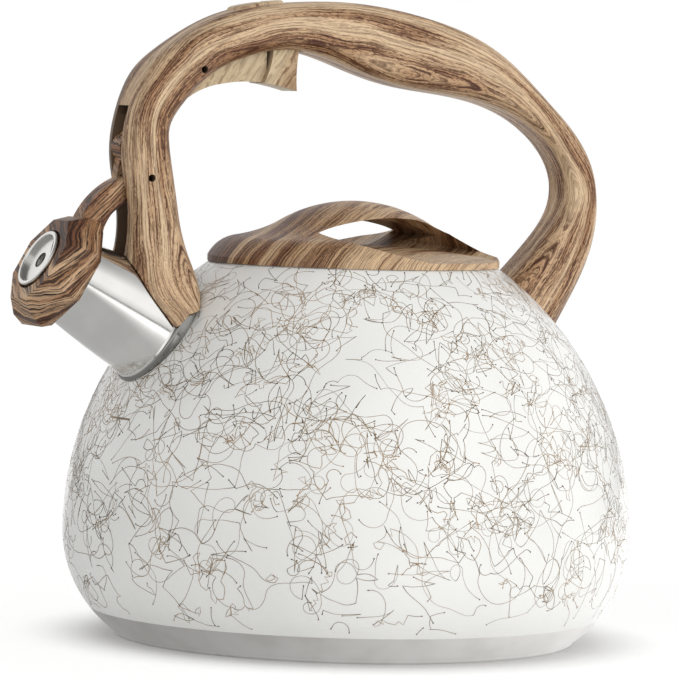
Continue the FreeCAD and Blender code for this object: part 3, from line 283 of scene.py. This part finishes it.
# Sprayed and fired gloss coat on the steel vessel outside, with a fine orange peel; bare drawn steel inside.
def vesselCoat(name, look):
    material, tree = newMaterial(name)
    add = partial(addNode, tree)
    place = objectMillimetres(tree)
    clouds = stretched(tree, place, look["clouds"], 2.0, 0.5)
    peel = stretched(tree, place, look["peel"], 1.0, 0.5)
    cloudy = add("ShaderNodeMapRange", {"Value": clouds, **clouding}, **softStep)
    white = add("ShaderNodeMix", {0: cloudy, 6: hexColour(look["white"]), 7: hexColour(look["shade"])},
                data_type="RGBA").outputs[2]
    normal = add("ShaderNodeNewGeometry").outputs["Normal"]
    fromMiddle = add("ShaderNodeVectorMath", {0: place, 1: (0, 0, look["middle"])}, operation="SUBTRACT")
    facing = add("ShaderNodeVectorMath", {0: fromMiddle, 1: normal}, operation="DOT_PRODUCT").outputs["Value"]
    inside = add("ShaderNodeMath", {0: facing, 1: 0.0}, operation="LESS_THAN")
    colour = add("ShaderNodeMix", {0: inside, 6: white, 7: hexColour(look["steel"])},
                 data_type="RGBA").outputs[2]
    rough = add("ShaderNodeMapRange", {"Value": peel, "To Min": look["smooth"], "To Max": look["rough"]})
    bump = add("ShaderNodeBump", {"Strength": 0.25, "Distance": look["relief"] * mm, "Height": peel})
    closeMaterial(tree, {"Base Color": colour, "Metallic": inside, "Roughness": rough, "IOR": 1.5,
                         "Normal": bump})
    return material


coat = vesselCoat("Enamel, gloss white", enamel)

printInk = {
    "faint": "ada292", "brown": "80683f", "dark": "403020", "gold": "a88a64",
    "faintAt": 0.1, "brownAt": 0.45, "darkAt": 0.9,  # strength of the ink
    "grit": (1.2, 1.2, 1.2), "drift": (30, 30, 30),  # mm
    "gritShare": 0.5, "unpressed": 0.25,  # what the grit adds to the strength, and the press that adds none
    "gilded": (0.5, 0.66), "driftGold": 0.75, "tangleGold": 0.8,  # where gold patches lie, and shares of gold
}


# Screened ink fired into the coat: grey brown, darker where a stroke is pressed, gold where strokes tangle.
def printedInk(name, look):
    material, tree = newMaterial(name)
    add = partial(addNode, tree)
    place = objectMillimetres(tree)
    press = add("ShaderNodeAttribute", attribute_name="press").outputs["Fac"]
    gold = add("ShaderNodeAttribute", attribute_name="gold").outputs["Fac"]
    grit = stretched(tree, place, look["grit"], 1.0, 0.5)
    drift = stretched(tree, place, look["drift"], 2.0, 0.5, 3.0)
    pressed = add("ShaderNodeMath", {0: press, 1: look["unpressed"]}, operation="SUBTRACT")
    strength = add("ShaderNodeMath", {0: grit, 1: look["gritShare"], 2: pressed}, operation="MULTIPLY_ADD")
    brown = add("ShaderNodeValToRGB", {"Fac": strength}, stops=[
        (look[shade + "At"], hexColour(look[shade])) for shade in ("faint", "brown", "dark")])
    low, high = look["gilded"]
    patches = add("ShaderNodeMapRange", {"Value": drift, "From Min": low, "From Max": high}, **softStep)
    tangled = add("ShaderNodeMath", {0: gold, 1: look["tangleGold"]}, operation="MULTIPLY")
    patched = add("ShaderNodeMath", {0: patches, 1: look["driftGold"]}, operation="MULTIPLY")
    gilded = add("ShaderNodeMath", {0: tangled, 1: patched}, operation="MAXIMUM")
    colour = add("ShaderNodeMix", {0: gilded, 6: brown, 7: hexColour(look["gold"])},
                 data_type="RGBA").outputs[2]
    closeMaterial(tree, {"Base Color": colour, "Roughness": 0.3, "IOR": 1.5})
    return material


ink = printedInk("Ink, fired brown and gold", printInk)


# Compression-moulded silicone: milky, matt, a faint dust on it.
def silicone(name, look):
    material, tree = newMaterial(name)
    dust = stretched(tree, objectMillimetres(tree), look["grit"], 2.0, 0.6)
    colour = addNode(tree, "ShaderNodeMix",
                     {0: dust, 6: hexColour(look["colour"]), 7: hexColour(look["dust"])},
                     data_type="RGBA").outputs[2]
    bump = addNode(tree, "ShaderNodeBump", {"Strength": 0.3, "Distance": look["relief"] * mm, "Height": dust})
    closeMaterial(tree, {"Base Color": colour, "Roughness": 0.6, "IOR": 1.41, "Normal": bump})
    return material


sealSilicone = silicone("Silicone, milky", {"colour": "e2e0da", "dust": "cfccc4", "grit": (2, 2, 2),
                                            "relief": 0.03})  # mm
print("materials made")

# the CAD nodes that stay, with their finishes
finishes = {
    "body_shell": coat, "vessel_floor": bareSteel, "base_core": pressedAluminium, "base_cap": turnedSteel,
    "spout_tube": polishedSteel, "front_bracket": pressedSteel, "rear_bracket": pressedSteel,
    "front_screw": pressedSteel, "rear_screw": pressedSteel, "arm_pin": boreShadeSteel, "trigger_pin": boreShadeSteel,
    "arm_spring": bareSteel, "whistle_arm": housingWood, "whistle_cup": mirrorSteel,
    "whistle_front_plate": mirrorSteel, "whistle_rear_plate": pressedSteel, "trigger": triggerWood,
    "lid_cover": lidWood, "lid_plate": bareSteel, "lid_seal": sealSilicone, "lid_screws": pressedSteel,
}
for name, finish in finishes.items():
    nodes[name].data.materials.clear()
    nodes[name].data.materials.append(finish)
print("finishes given to", len(finishes), "nodes")

# the handle keeps the CAD form, with a grain that runs round the loop
handleShell = {
    # middle line of the loop from the fork's feet to the rear foot: x, z and half the thickness, mm
    "line": [(-66, 96, 9), (-78, 121, 9.5), (-83, 132, 13.5), (-85, 146, 12.2), (-87, 166, 10),
             (-90, 188, 9.1), (-87, 201, 9.4), (-75, 215, 9.4), (-61, 224, 9), (-33, 230, 9),
             (-4, 227, 12.8), (19, 222.6, 14), (48, 215, 11.7), (73, 201, 7.2), (93.5, 176, 7),
             (93.4, 160.5, 8.6), (87, 146, 11.4), (77, 132, 13.6), (60, 112, 17)],
    "steps": 12,  # between two of these places
    "even": 10,  # half thickness that the grain is drawn for, mm
    "merge": 0.002,  # mm between points that become one
    "crease": 32,  # degrees from which an edge stays sharp
    # the faces with painted shade, mm and parts of a normal: pin bores, the slot's walls, the far cheek's
    # front edge
    "pins": [(-90.0, 172.9), (-69.9, 213.3)], "bore": 1.7,
    "slot": 4.6, "square": 0.95,
    "edge": (148, 214), "margin": 0.2, "forward": -0.3, "ahead": -70,
}


def smoothLine(points, steps):  # the points joined by one smooth curve
    p = np.array([points[0]] + points + [points[-1]], float)
    out = []
    for i in range(1, len(p) - 2):
        for t in np.linspace(0, 1, steps, endpoint=False):
            a, b, c, d = p[i - 1:i + 3]
            out.append(0.5 * (2 * b + (c - a) * t + (2 * a - 5 * b + 4 * c - d) * t * t
                              + (3 * b - a - 3 * c + d) * t ** 3))
    out.append(p[-2])
    return np.array(out)


def grainAlong(coordinates, spec):  # length along the loop, place across it, depth: metres
    line = smoothLine(spec["line"], spec["steps"])
    middle = line[:, :2] * mm
    chord = np.diff(middle, axis=0)
    length = np.concatenate([[0], np.cumsum(np.hypot(chord[:, 0], chord[:, 1]))])
    flat = coordinates[:, [0, 2]]
    best = np.full(len(flat), np.inf)
    result = np.zeros((len(flat), 3))
    for i, step in enumerate(chord):
        size = np.hypot(*step)
        direction = step / size
        offset = flat - middle[i]
        reach = np.clip(offset @ direction, 0, size)
        across = offset - reach[:, None] * direction
        gap = np.hypot(across[:, 0], across[:, 1])
        side = np.sign(offset @ np.array([-direction[1], direction[0]]))
        thick = line[i, 2] + (line[i + 1, 2] - line[i, 2]) * reach / size
        nearer = gap < best
        best = np.where(nearer, gap, best)
        found = np.stack([length[i] + reach, side * gap * spec["even"] / thick, coordinates[:, 1]], axis=1)
        result[nearer] = found[nearer]
    return result


def copyNode(name, newName, material, spec):  # a merged copy of a CAD node that can carry its own attributes
    mesh = nodes[name].data.copy()
    mesh.name = newName
    mesh.materials.clear()
    mesh.materials.append(material)
    form = bmesh.new()
    form.from_mesh(mesh)
    bmesh.ops.remove_doubles(form, verts=form.verts, dist=spec["merge"] * mm)
    form.to_mesh(mesh)
    form.free()
    mesh.shade_smooth()
    mesh.set_sharp_from_angle(angle=math.radians(spec["crease"]))
    piece = bpy.data.objects.new(newName, mesh)
    bpy.context.scene.collection.objects.link(piece)
    return piece


def markPaintedShade(mesh, spec):  # marks the faces that get painted shade: pin bores, the slot's walls, the far cheek's front edge
    marks = []
    low, high = spec["edge"]
    for polygon in mesh.polygons:
        centre = polygon.center / mm
        bored = any(math.hypot(centre.x - x, centre.z - z) < spec["bore"] for x, z in spec["pins"])
        slotted = abs(centre.y) < spec["slot"] and abs(polygon.normal.y) > spec["square"]
        farCheek = centre.x < spec["ahead"] and centre.y > spec["slot"] - spec["margin"]
        edged = farCheek and polygon.normal.x < spec["forward"] and low < centre.z < high
        marks.append(1.0 if bored or slotted or edged else 0.0)
    mesh.attributes.new("inner", "FLOAT", "FACE").data.foreach_set("value", marks)
    # counts the faces that get painted shade
    print("faces with painted shade:", int(sum(marks)))


handleSkin = copyNode("handle", "handleSkin", handleWood, handleShell)
count = len(handleSkin.data.vertices)
coordinates = np.zeros(count * 3)
handleSkin.data.vertices.foreach_get("co", coordinates)
grain = grainAlong(coordinates.reshape(-1, 3), handleShell)
handleSkin.data.attributes.new("grain", "FLOAT_VECTOR", "POINT").data.foreach_set("vector", grain.ravel())
markPaintedShade(handleSkin.data, handleShell)
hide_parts("handle")
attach(handleSkin, "kettle")
print("handle grain laid on", count, "points")


def meshPiece(name, vertices, faces, material, smooth=True):
    mesh = bpy.data.meshes.new(name)
    mesh.from_pydata(vertices, [], faces)
    mesh.materials.append(material)
    for polygon in mesh.polygons:
        polygon.use_smooth = smooth
    piece = bpy.data.objects.new(name, mesh)
    bpy.context.scene.collection.objects.link(piece)
    return piece


# the two-piece oval insert on top of the grip
gripInsert = {
    # along x: from and to, half width, how far it stands proud, mm
    "pieces": {"Front": (-54.9, -40.2, 6.6, 1.0), "Rear": (-41.8, -33.4, 5.4, 1.1)},
    "sunk": 0.4, "above": 260,  # mm: how far the rim goes under, and a height over the whole kettle
    "rings": 12, "points": 48,
    "shoulder": 0.72,  # share of the pad that is level
    "square": 0.7,  # 1 is a round outline, less is squarer
}


def crownPad(name, spec, piece, surface):  # a low pad laid on the surface from above
    start, end, half, proud = piece
    sunk = spec["sunk"]
    vertices, faces = [], []
    for ring in range(spec["rings"] + 1):
        reach = ring / spec["rings"]
        drop = max(0.0, (reach - spec["shoulder"]) / (1 - spec["shoulder"]))
        lift = (proud + sunk) * math.sqrt(1 - drop * drop) - sunk
        for i in range(spec["points"] if ring else 1):
            turn = 2 * math.pi * i / spec["points"]
            c, s = math.cos(turn), math.sin(turn)
            x = (start + end) / 2 + (end - start) / 2 * reach * math.copysign(abs(c) ** spec["square"], c)
            y = half * reach * math.copysign(abs(s) ** spec["square"], s)
            place, normal, _, _ = surface.ray_cast(Vector((x, y, spec["above"])) * mm, Vector((0, 0, -1)))
            vertices.append(place + normal * lift * mm)
    count = spec["points"]
    for i in range(count):
        faces.append((0, 1 + i, 1 + (i + 1) % count))
    for ring in range(spec["rings"] - 1):
        inner, outer = 1 + ring * count, 1 + (ring + 1) * count
        for i in range(count):
            after = (i + 1) % count
            faces.append((inner + i, outer + i, outer + after, inner + after))
    pad = meshPiece(name, vertices, faces, insertWood)
    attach(pad, "kettle")


crown = BVHTree.FromPolygons([v.co for v in handleSkin.data.vertices],
                             [p.vertices for p in handleSkin.data.polygons])
for label, piece in gripInsert["pieces"].items():
    crownPad("gripInsert" + label, gripInsert, piece, crown)
print("grip insert made")

# the threads printed on the vessel
vesselForm = {"belly": 107.5, "height": 40, "lower": 47.3, "upper": 124,
              "foot": 12.2, "shoulder": 141.3}  # mm: greatest radius and its height, arcs, printed part
threads = {
    "seed": 11,
    "number": 1300,
    "shortest": 16, "longest": 105,  # mm of thread
    "fewest": 5,  # points in a thread that is kept
    "step": 0.88,  # mm between points
    "width": 0.17, "dot": 0.28, "proud": 0.03,  # mm
    "weights": (0.75, 1.35), "dotSides": 8,  # times the width, where a thread is faint and where it is pressed
    "climb": 0.76,  # under 1, more threads start high on the vessel
    "faint": (0.08, 0.46),  # how hard a thread is pressed, from and to
    "darkerSide": math.radians(165), "sideShare": 0.16,  # the ink is darker and the threads wider round by the spout, lighter on the far side
    "bend": 0.044, "ease": 0.085,  # how fast the curve changes, and how fast it straightens
    "firstBend": 0.05,
    "chances": (0.012, 0.022, 0.016, 0.034),  # of a tangle, curl, hairpin or corner, at each step
    # lengths and steps in mm, turns in radians, bends in radians per mm
    "tangle": {"length": (14, 40), "step": (1.0, 3.2), "turn": (0.6, 2.8), "press": 0.55},
    "curl": {"length": (5, 14), "bend": (0.18, 0.55), "tighten": (0.02, 0.10)},
    "hairpin": {"length": (3, 9), "stray": 0.16, "bend": 0.02, "press": 0.8},
    "corner": {"turn": (0.6, 2.3), "press": 0.7},
    "startPress": 0.5, "pressKept": 0.72, "goldKept": 0.86,  # from one point to the next
    "endPress": 0.5, "endKept": 0.7,  # the pen is pressed as it lifts
}


def vesselRadius(z):
    form = vesselForm
    if z < form["height"]:
        return form["belly"] - form["lower"] + math.sqrt(form["lower"] ** 2 - (z - form["height"]) ** 2)
    return form["belly"] - form["upper"] + math.sqrt(form["upper"] ** 2 - (z - form["height"]) ** 2)


def vesselNormal(z, turn):
    form = vesselForm
    arc = form["lower"] if z < form["height"] else form["upper"]
    rise = (z - form["height"]) / arc
    flat = math.sqrt(1 - rise * rise)
    return Vector((flat * math.cos(turn), flat * math.sin(turn), rise))


def threadPath(rng, spec):  # a pen that wanders, turns back, curls and tangles on the vessel's side
    foot, shoulder = vesselForm["foot"], vesselForm["shoulder"]
    tangle, curl, hairpin, corner = (spec[label] for label in ("tangle", "curl", "hairpin", "corner"))
    tangles, curls, turnsBack, turns = accumulate(spec["chances"])
    z = foot + rng.random() ** spec["climb"] * (shoulder - foot)
    turn, heading = rng.uniform(-math.pi, math.pi), rng.uniform(-math.pi, math.pi)
    bend, twist = rng.gauss(0, spec["firstBend"]), 0.0
    left = spec["shortest"] * (spec["longest"] / spec["shortest"]) ** rng.random()
    faint = rng.uniform(*spec["faint"]) + spec["sideShare"] * math.cos(turn - spec["darkerSide"])
    press, gold = spec["startPress"], 0.0
    points, mode, modeLeft = [], "wander", 0.0
    while left > 0:
        step = spec["step"]
        if modeLeft <= 0:
            mode, twist, chance = "wander", 0.0, rng.random()
            if chance < tangles:
                mode, modeLeft = "tangle", rng.uniform(*tangle["length"])
            elif chance < curls:
                mode, modeLeft = "curl", rng.uniform(*curl["length"])
                bend = rng.choice((-1, 1)) * rng.uniform(*curl["bend"])
                twist = -bend * rng.uniform(*curl["tighten"])
            elif chance < turnsBack:
                mode, modeLeft = "hairpin", rng.uniform(*hairpin["length"])
                heading += math.pi + rng.gauss(0, hairpin["stray"])
                bend, press = rng.gauss(0, hairpin["bend"]), hairpin["press"]
            elif chance < turns:
                heading += rng.choice((-1, 1)) * rng.uniform(*corner["turn"])
                press = corner["press"]
        if mode == "tangle":
            step = rng.uniform(*tangle["step"])
            heading += rng.choice((-1, 0.3, 1)) * rng.uniform(*tangle["turn"])
            bend, press, gold = 0.0, max(press, tangle["press"]), 1.0
        elif mode == "wander":
            bend += rng.gauss(0, spec["bend"]) - spec["ease"] * bend
        bend += twist * step
        heading += bend * step
        modeLeft -= step
        left -= step
        normal, radius = vesselNormal(z, turn), vesselRadius(z)
        place = Vector((radius * math.cos(turn), radius * math.sin(turn), z)) + normal * spec["proud"]
        points.append((place * mm, normal, min(1.0, max(0.0, faint + press)), gold))
        press *= spec["pressKept"]
        gold *= spec["goldKept"]
        z += step * math.sin(heading) * math.hypot(normal.x, normal.y)
        turn += step * math.cos(heading) / radius
        if not foot < z < shoulder:
            break
    return points


def threadLines(spec):  # all threads as loose edges that carry the surface's direction and the ink's strength
    rng = random.Random(spec["seed"])
    points, edges = [], []
    for _ in range(spec["number"]):
        path = threadPath(rng, spec)
        if len(path) < spec["fewest"]:
            continue
        first, tail = len(points), len(path) - 1
        for i, (place, normal, press, gold) in enumerate(path):
            ended = spec["endPress"] * spec["endKept"] ** (tail - i)
            points.append((place, normal, min(1.0, press + ended), gold))
        edges += [(first + i, first + i + 1) for i in range(tail)]
    return points, edges


def lineObject(name, points, edges):
    mesh = bpy.data.meshes.new(name)
    mesh.from_pydata([p[0] for p in points], edges, [])
    field = mesh.attributes.new("outward", "FLOAT_VECTOR", "POINT")
    field.data.foreach_set("vector", [c for p in points for c in p[1]])
    for label, column in (("press", 2), ("gold", 3)):
        mesh.attributes.new(label, "FLOAT", "POINT").data.foreach_set("value", [p[column] for p in points])
    holder = bpy.data.objects.new(name, mesh)
    bpy.context.scene.collection.objects.link(holder)
    return holder


def ribbonTree(name, spec):  # lays a flat ribbon on each line, wider where pressed, with a blot at each end
    tree = bpy.data.node_groups.new(name, "GeometryNodeTree")
    add = partial(addNode, tree)
    sockets = tree.interface
    sockets.new_socket("Geometry", in_out="INPUT", socket_type="NodeSocketGeometry")
    for label in ("Ribbon width", "Blot radius"):
        sockets.new_socket(label, in_out="INPUT", socket_type="NodeSocketFloat")
    sockets.new_socket("Ink", in_out="INPUT", socket_type="NodeSocketMaterial")
    sockets.new_socket("Geometry", in_out="OUTPUT", socket_type="NodeSocketGeometry")
    given = add("NodeGroupInput").outputs
    outward = add("GeometryNodeInputNamedAttribute", {"Name": "outward"}, data_type="FLOAT_VECTOR")
    press = add("GeometryNodeInputNamedAttribute", {"Name": "press"}, data_type="FLOAT")
    curves = add("GeometryNodeMeshToCurve", {0: given["Geometry"]})
    turned = add("GeometryNodeSetCurveNormal", {"Curve": curves, "Normal": outward}, mode="FREE")
    half = add("ShaderNodeMath", {0: given["Ribbon width"], 1: 0.5}, operation="MULTIPLY")
    minus = add("ShaderNodeMath", {0: half, 1: -1.0}, operation="MULTIPLY")
    left = add("ShaderNodeCombineXYZ", {1: half})
    right = add("ShaderNodeCombineXYZ", {1: minus})
    profile = add("GeometryNodeCurvePrimitiveLine", {"Start": left, "End": right})
    thin, bold = spec["weights"]
    weight = add("ShaderNodeMapRange", {"Value": press, "To Min": thin, "To Max": bold})
    ribbon = add("GeometryNodeCurveToMesh", {"Curve": turned, "Profile Curve": profile, "Scale": weight})
    ends = add("GeometryNodeCurveEndpointSelection", {0: 1, 1: 1})
    blot = add("GeometryNodeMeshCircle", {"Vertices": spec["dotSides"], "Radius": given["Blot radius"]},
               fill_type="NGON")
    stand = add("FunctionNodeAlignRotationToVector", {"Vector": outward}, axis="Z")
    blots = add("GeometryNodeInstanceOnPoints",
                {"Points": turned, "Selection": ends, "Instance": blot, "Rotation": stand})
    joined = add("GeometryNodeJoinGeometry")
    tree.links.new(ribbon.outputs[0], joined.inputs[0])
    tree.links.new(blots.outputs[0], joined.inputs[0])
    real = add("GeometryNodeRealizeInstances", {0: joined})
    inked = add("GeometryNodeSetMaterial", {"Geometry": real, "Material": given["Ink"]})
    add("NodeGroupOutput", {0: inked})
    return tree


def bakeTree(holder, tree, values, name):  # runs a node tree on an object and keeps a plain mesh
    modifier = holder.modifiers.new("nodes", "NODES")
    modifier.node_group = tree
    for item in tree.interface.items_tree:
        if item.in_out == "INPUT" and item.name in values:
            modifier[item.identifier] = values[item.name]
    graph = bpy.context.evaluated_depsgraph_get()
    graph.update()
    mesh = bpy.data.meshes.new_from_object(holder.evaluated_get(graph))
    holder.modifiers.remove(modifier)
    bpy.data.objects.remove(holder)
    mesh.name = name
    piece = bpy.data.objects.new(name, mesh)
    bpy.context.scene.collection.objects.link(piece)
    return piece


ribbons = ribbonTree("ink ribbons", threads)
threadHolder = lineObject("threadLines", *threadLines(threads))
threadSizes = {"Ribbon width": threads["width"] * mm, "Blot radius": threads["dot"] * mm, "Ink": ink}
printedThreads = bakeTree(threadHolder, ribbons, threadSizes, "printedThreads")
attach(printedThreads, "kettle")
print("printed threads:", len(printedThreads.data.polygons), "faces")

# the fill mark, a short level dash beside the spout
fillMark = {
    "height": 84.3, "width": 0.6, "blot": 0.0001, "proud": 0.045,  # mm
    "from": 181, "to": 189,  # degrees round the vessel
    "steps": 14, "press": 0.9,
}


def fillMarkLine(spec):
    points = []
    for degrees in np.linspace(spec["from"], spec["to"], spec["steps"]):
        turn = math.radians(degrees)
        normal = vesselNormal(spec["height"], turn)
        radius = vesselRadius(spec["height"])
        onVessel = Vector((radius * math.cos(turn), radius * math.sin(turn), spec["height"]))
        points.append(((onVessel + normal * spec["proud"]) * mm, normal, spec["press"], 0.0))
    return points, [(i, i + 1) for i in range(len(points) - 1)]


dashSizes = {"Ribbon width": fillMark["width"] * mm, "Blot radius": fillMark["blot"] * mm, "Ink": ink}
fillDash = bakeTree(lineObject("fillLine", *fillMarkLine(fillMark)), ribbons, dashSizes, "fillDash")
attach(fillDash, "kettle")
print("fill mark made")

studio = {
    "camera": (-0.80025, -1.57058, 0.205), "aim": (86.8888, -1.6076, -26.7726),  # m, degrees
    "lens": 240.24, "sensor": 36, "reach": 50,  # mm, mm, m
    "keyPlace": (0.85, -1.72, 0.80), "keySize": 1.7, "keyPower": 24,
    "fillPlace": (-1.9, -0.9, 0.7), "fillSize": 1.4, "fillPower": 3,
    "lampsAim": (0, 0, 0.11),  # m
    "world": 0.62,  # diffuse light from all round
    # the room that metal mirrors, from straight down to straight up: share of the way, brightness
    "room": [(0.0, 0.42), (0.47, 0.40), (0.505, 0.16), (0.53, 0.80), (0.62, 1.1), (0.76, 1.06), (0.90, 0.25)],
}


def areaLamp(name, place, size, power):
    lamp = bpy.data.lights.new(name, "AREA")
    lamp.size = size
    lamp.energy = power
    holder = bpy.data.objects.new(name, lamp)
    holder.location = place
    holder.rotation_euler = (Vector(studio["lampsAim"]) - Vector(place)).to_track_quat("-Z", "Y").to_euler()
    holder.visible_glossy = False  # metal mirrors the room's bands instead of the lamp
    bpy.context.scene.collection.objects.link(holder)
    return holder


keyLamp = areaLamp("keyLight", studio["keyPlace"], studio["keySize"], studio["keyPower"])
areaLamp("fillLight", studio["fillPlace"], studio["fillSize"], studio["fillPower"])

world = bpy.data.worlds.new("paleStudio")
bpy.context.scene.world = world
world.use_nodes = True
world.node_tree.nodes.clear()
add = partial(addNode, world.node_tree)
rays = add("ShaderNodeLightPath").outputs
direction = add("ShaderNodeTexCoord").outputs["Generated"]
upward = add("ShaderNodeSeparateXYZ", {0: direction}).outputs["Z"]
level = add("ShaderNodeMapRange", {"Value": upward, "From Min": -1.0, "From Max": 1.0})
room = add("ShaderNodeValToRGB", {"Fac": level}, stops=[
    (share, (light, light, light, 1)) for share, light in studio["room"]])
ambient = add("ShaderNodeMix", {0: rays["Is Glossy Ray"], 6: (studio["world"],) * 3 + (1,), 7: room},
              data_type="RGBA").outputs[2]
plain = add("ShaderNodeMath", {0: rays["Is Camera Ray"], 1: rays["Is Transmission Ray"]},
            operation="MAXIMUM")
white = add("ShaderNodeMix", {0: plain, 6: ambient, 7: (1, 1, 1, 1)}, data_type="RGBA").outputs[2]
background = add("ShaderNodeBackground", {"Color": white, "Strength": 1.0})
add("ShaderNodeOutputWorld", {"Surface": background})

# The floor is pale paper: it keeps the kettle's real shade, deepened near the kettle by painted shade, and
# fades into the white around it. Metal sees a painted reflection on it: a glowing grey that grows paler to one
# side, which gives the steel its darker lower half, and dims near the kettle as a painted shadow.
paper = {
    "white": "fafafa", "fleck": "f6f6f6", "grit": (3, 3, 3),  # mm
    "half": 6, "near": 0.13, "far": 0.75,  # m from the middle: its edge, and where the fade begins and ends
    "lift": 0.42,  # glow that keeps the paper white
    "bounce": 0.5,  # share of that glow that lights the kettle from below
    "metalLeft": 0.50, "metalRight": 1.4, "metalSpan": (-100.0, 60.0),  # greys, and the x between them, mm
    "shade": (80.0, 128.0), "paintedContactShadow": (84.6, 87.6),  # mm from the middle, where the painted shade and the painted contact shadow end
    "paintedShadeGrey": 0.74, "paintedContactGrey": 0.2,  # what the painted shade and the painted contact shadow leave of the grey that metal sees
}
floorPaper, tree = newMaterial("Paper, matt white")
add = partial(addNode, tree)
floorPlace = objectMillimetres(tree)
fleck = stretched(tree, floorPlace, paper["grit"], 2.0, 0.55)
tone = add("ShaderNodeMix", {0: fleck, 6: hexColour(paper["white"]), 7: hexColour(paper["fleck"])},
           data_type="RGBA").outputs[2]
matt = add("ShaderNodeBsdfDiffuse", {"Color": tone})
seen = add("ShaderNodeLightPath").outputs
watched = add("ShaderNodeMath", {0: seen["Is Camera Ray"], 1: seen["Is Transmission Ray"]},
              operation="MAXIMUM")
away = add("ShaderNodeVectorMath", {0: floorPlace}, operation="LENGTH").outputs["Value"]
masks = {}
for label, (low, high) in {"shade": paper["shade"], "paintedContactShadow": paper["paintedContactShadow"],
                           "fade": (paper["near"] / mm, paper["far"] / mm)}.items():
    masks[label] = add("ShaderNodeMapRange", {"Value": away, "From Min": low, "From Max": high}, **softStep)
lit = add("ShaderNodeMath", {0: seen["Is Diffuse Ray"], 1: paper["bounce"]}, operation="MULTIPLY")
bounced = add("ShaderNodeMath", {0: watched, 1: lit}, operation="MAXIMUM")
# painted shade: near the kettle the glow that keeps the paper white is taken away, on top of the paper's real
# shade
clear = add("ShaderNodeMath", {0: bounced, 1: masks["shade"]}, operation="MULTIPLY")
liftStrength = add("ShaderNodeMath", {0: clear, 1: paper["lift"]}, operation="MULTIPLY")
lift = add("ShaderNodeEmission", {"Color": (1, 1, 1, 1), "Strength": liftStrength})
lifted = add("ShaderNodeAddShader", {0: matt, 1: lift})
glow = add("ShaderNodeEmission", {"Color": (1, 1, 1, 1), "Strength": 1.0})
fade = add("ShaderNodeMath", {0: masks["fade"], 1: watched}, operation="MULTIPLY")
faded = add("ShaderNodeMixShader", {0: fade, 1: lifted, 2: glow})
sideways = add("ShaderNodeSeparateXYZ", {0: floorPlace}).outputs["X"]
left, right = paper["metalSpan"]
greyness = add("ShaderNodeMapRange", {"Value": sideways, "From Min": left, "From Max": right,
                                      "To Min": paper["metalLeft"], "To Max": paper["metalRight"]})
# painted shadow in what metal sees: the grey glow dims near the kettle and is darkest at its foot
paintedShadeShare = add("ShaderNodeMapRange", {"Value": masks["shade"], "To Min": paper["paintedShadeGrey"]})
paintedContactShadow = add("ShaderNodeMapRange", {"Value": masks["paintedContactShadow"], "To Min": paper["paintedContactGrey"]})
paintedShadowShare = add("ShaderNodeMath", {0: paintedShadeShare, 1: paintedContactShadow}, operation="MULTIPLY")
greyStrength = add("ShaderNodeMath", {0: greyness, 1: paintedShadowShare}, operation="MULTIPLY")
grey = add("ShaderNodeEmission", {"Color": (1, 1, 1, 1), "Strength": greyStrength})
sheet = add("ShaderNodeMixShader", {0: seen["Is Glossy Ray"], 1: faded, 2: grey})
add("ShaderNodeOutputMaterial", {"Surface": sheet})
half = paper["half"]
floor = meshPiece("floor", [(-half, -half, 0), (half, -half, 0), (half, half, 0), (-half, half, 0)],
                  [(0, 1, 2, 3)], floorPaper, False)
flagged = bpy.data.collections.new("flaggedFromKey")  # keeps the key lamp off the paper, so soft shade shows
flagged.objects.link(floor)
flagged.collection_objects[0].light_linking.link_state = "EXCLUDE"
keyLamp.light_linking.receiver_collection = flagged

lens = bpy.data.cameras.new("camera")
lens.lens = studio["lens"]
lens.sensor_width = studio["sensor"]
lens.clip_end = studio["reach"]
camera = bpy.data.objects.new("camera", lens)
camera.location = studio["camera"]
camera.rotation_euler = [math.radians(a) for a in studio["aim"]]
bpy.context.scene.collection.objects.link(camera)
bpy.context.scene.camera = camera
bpy.context.scene.view_settings.view_transform = "Standard"
print("studio ready")
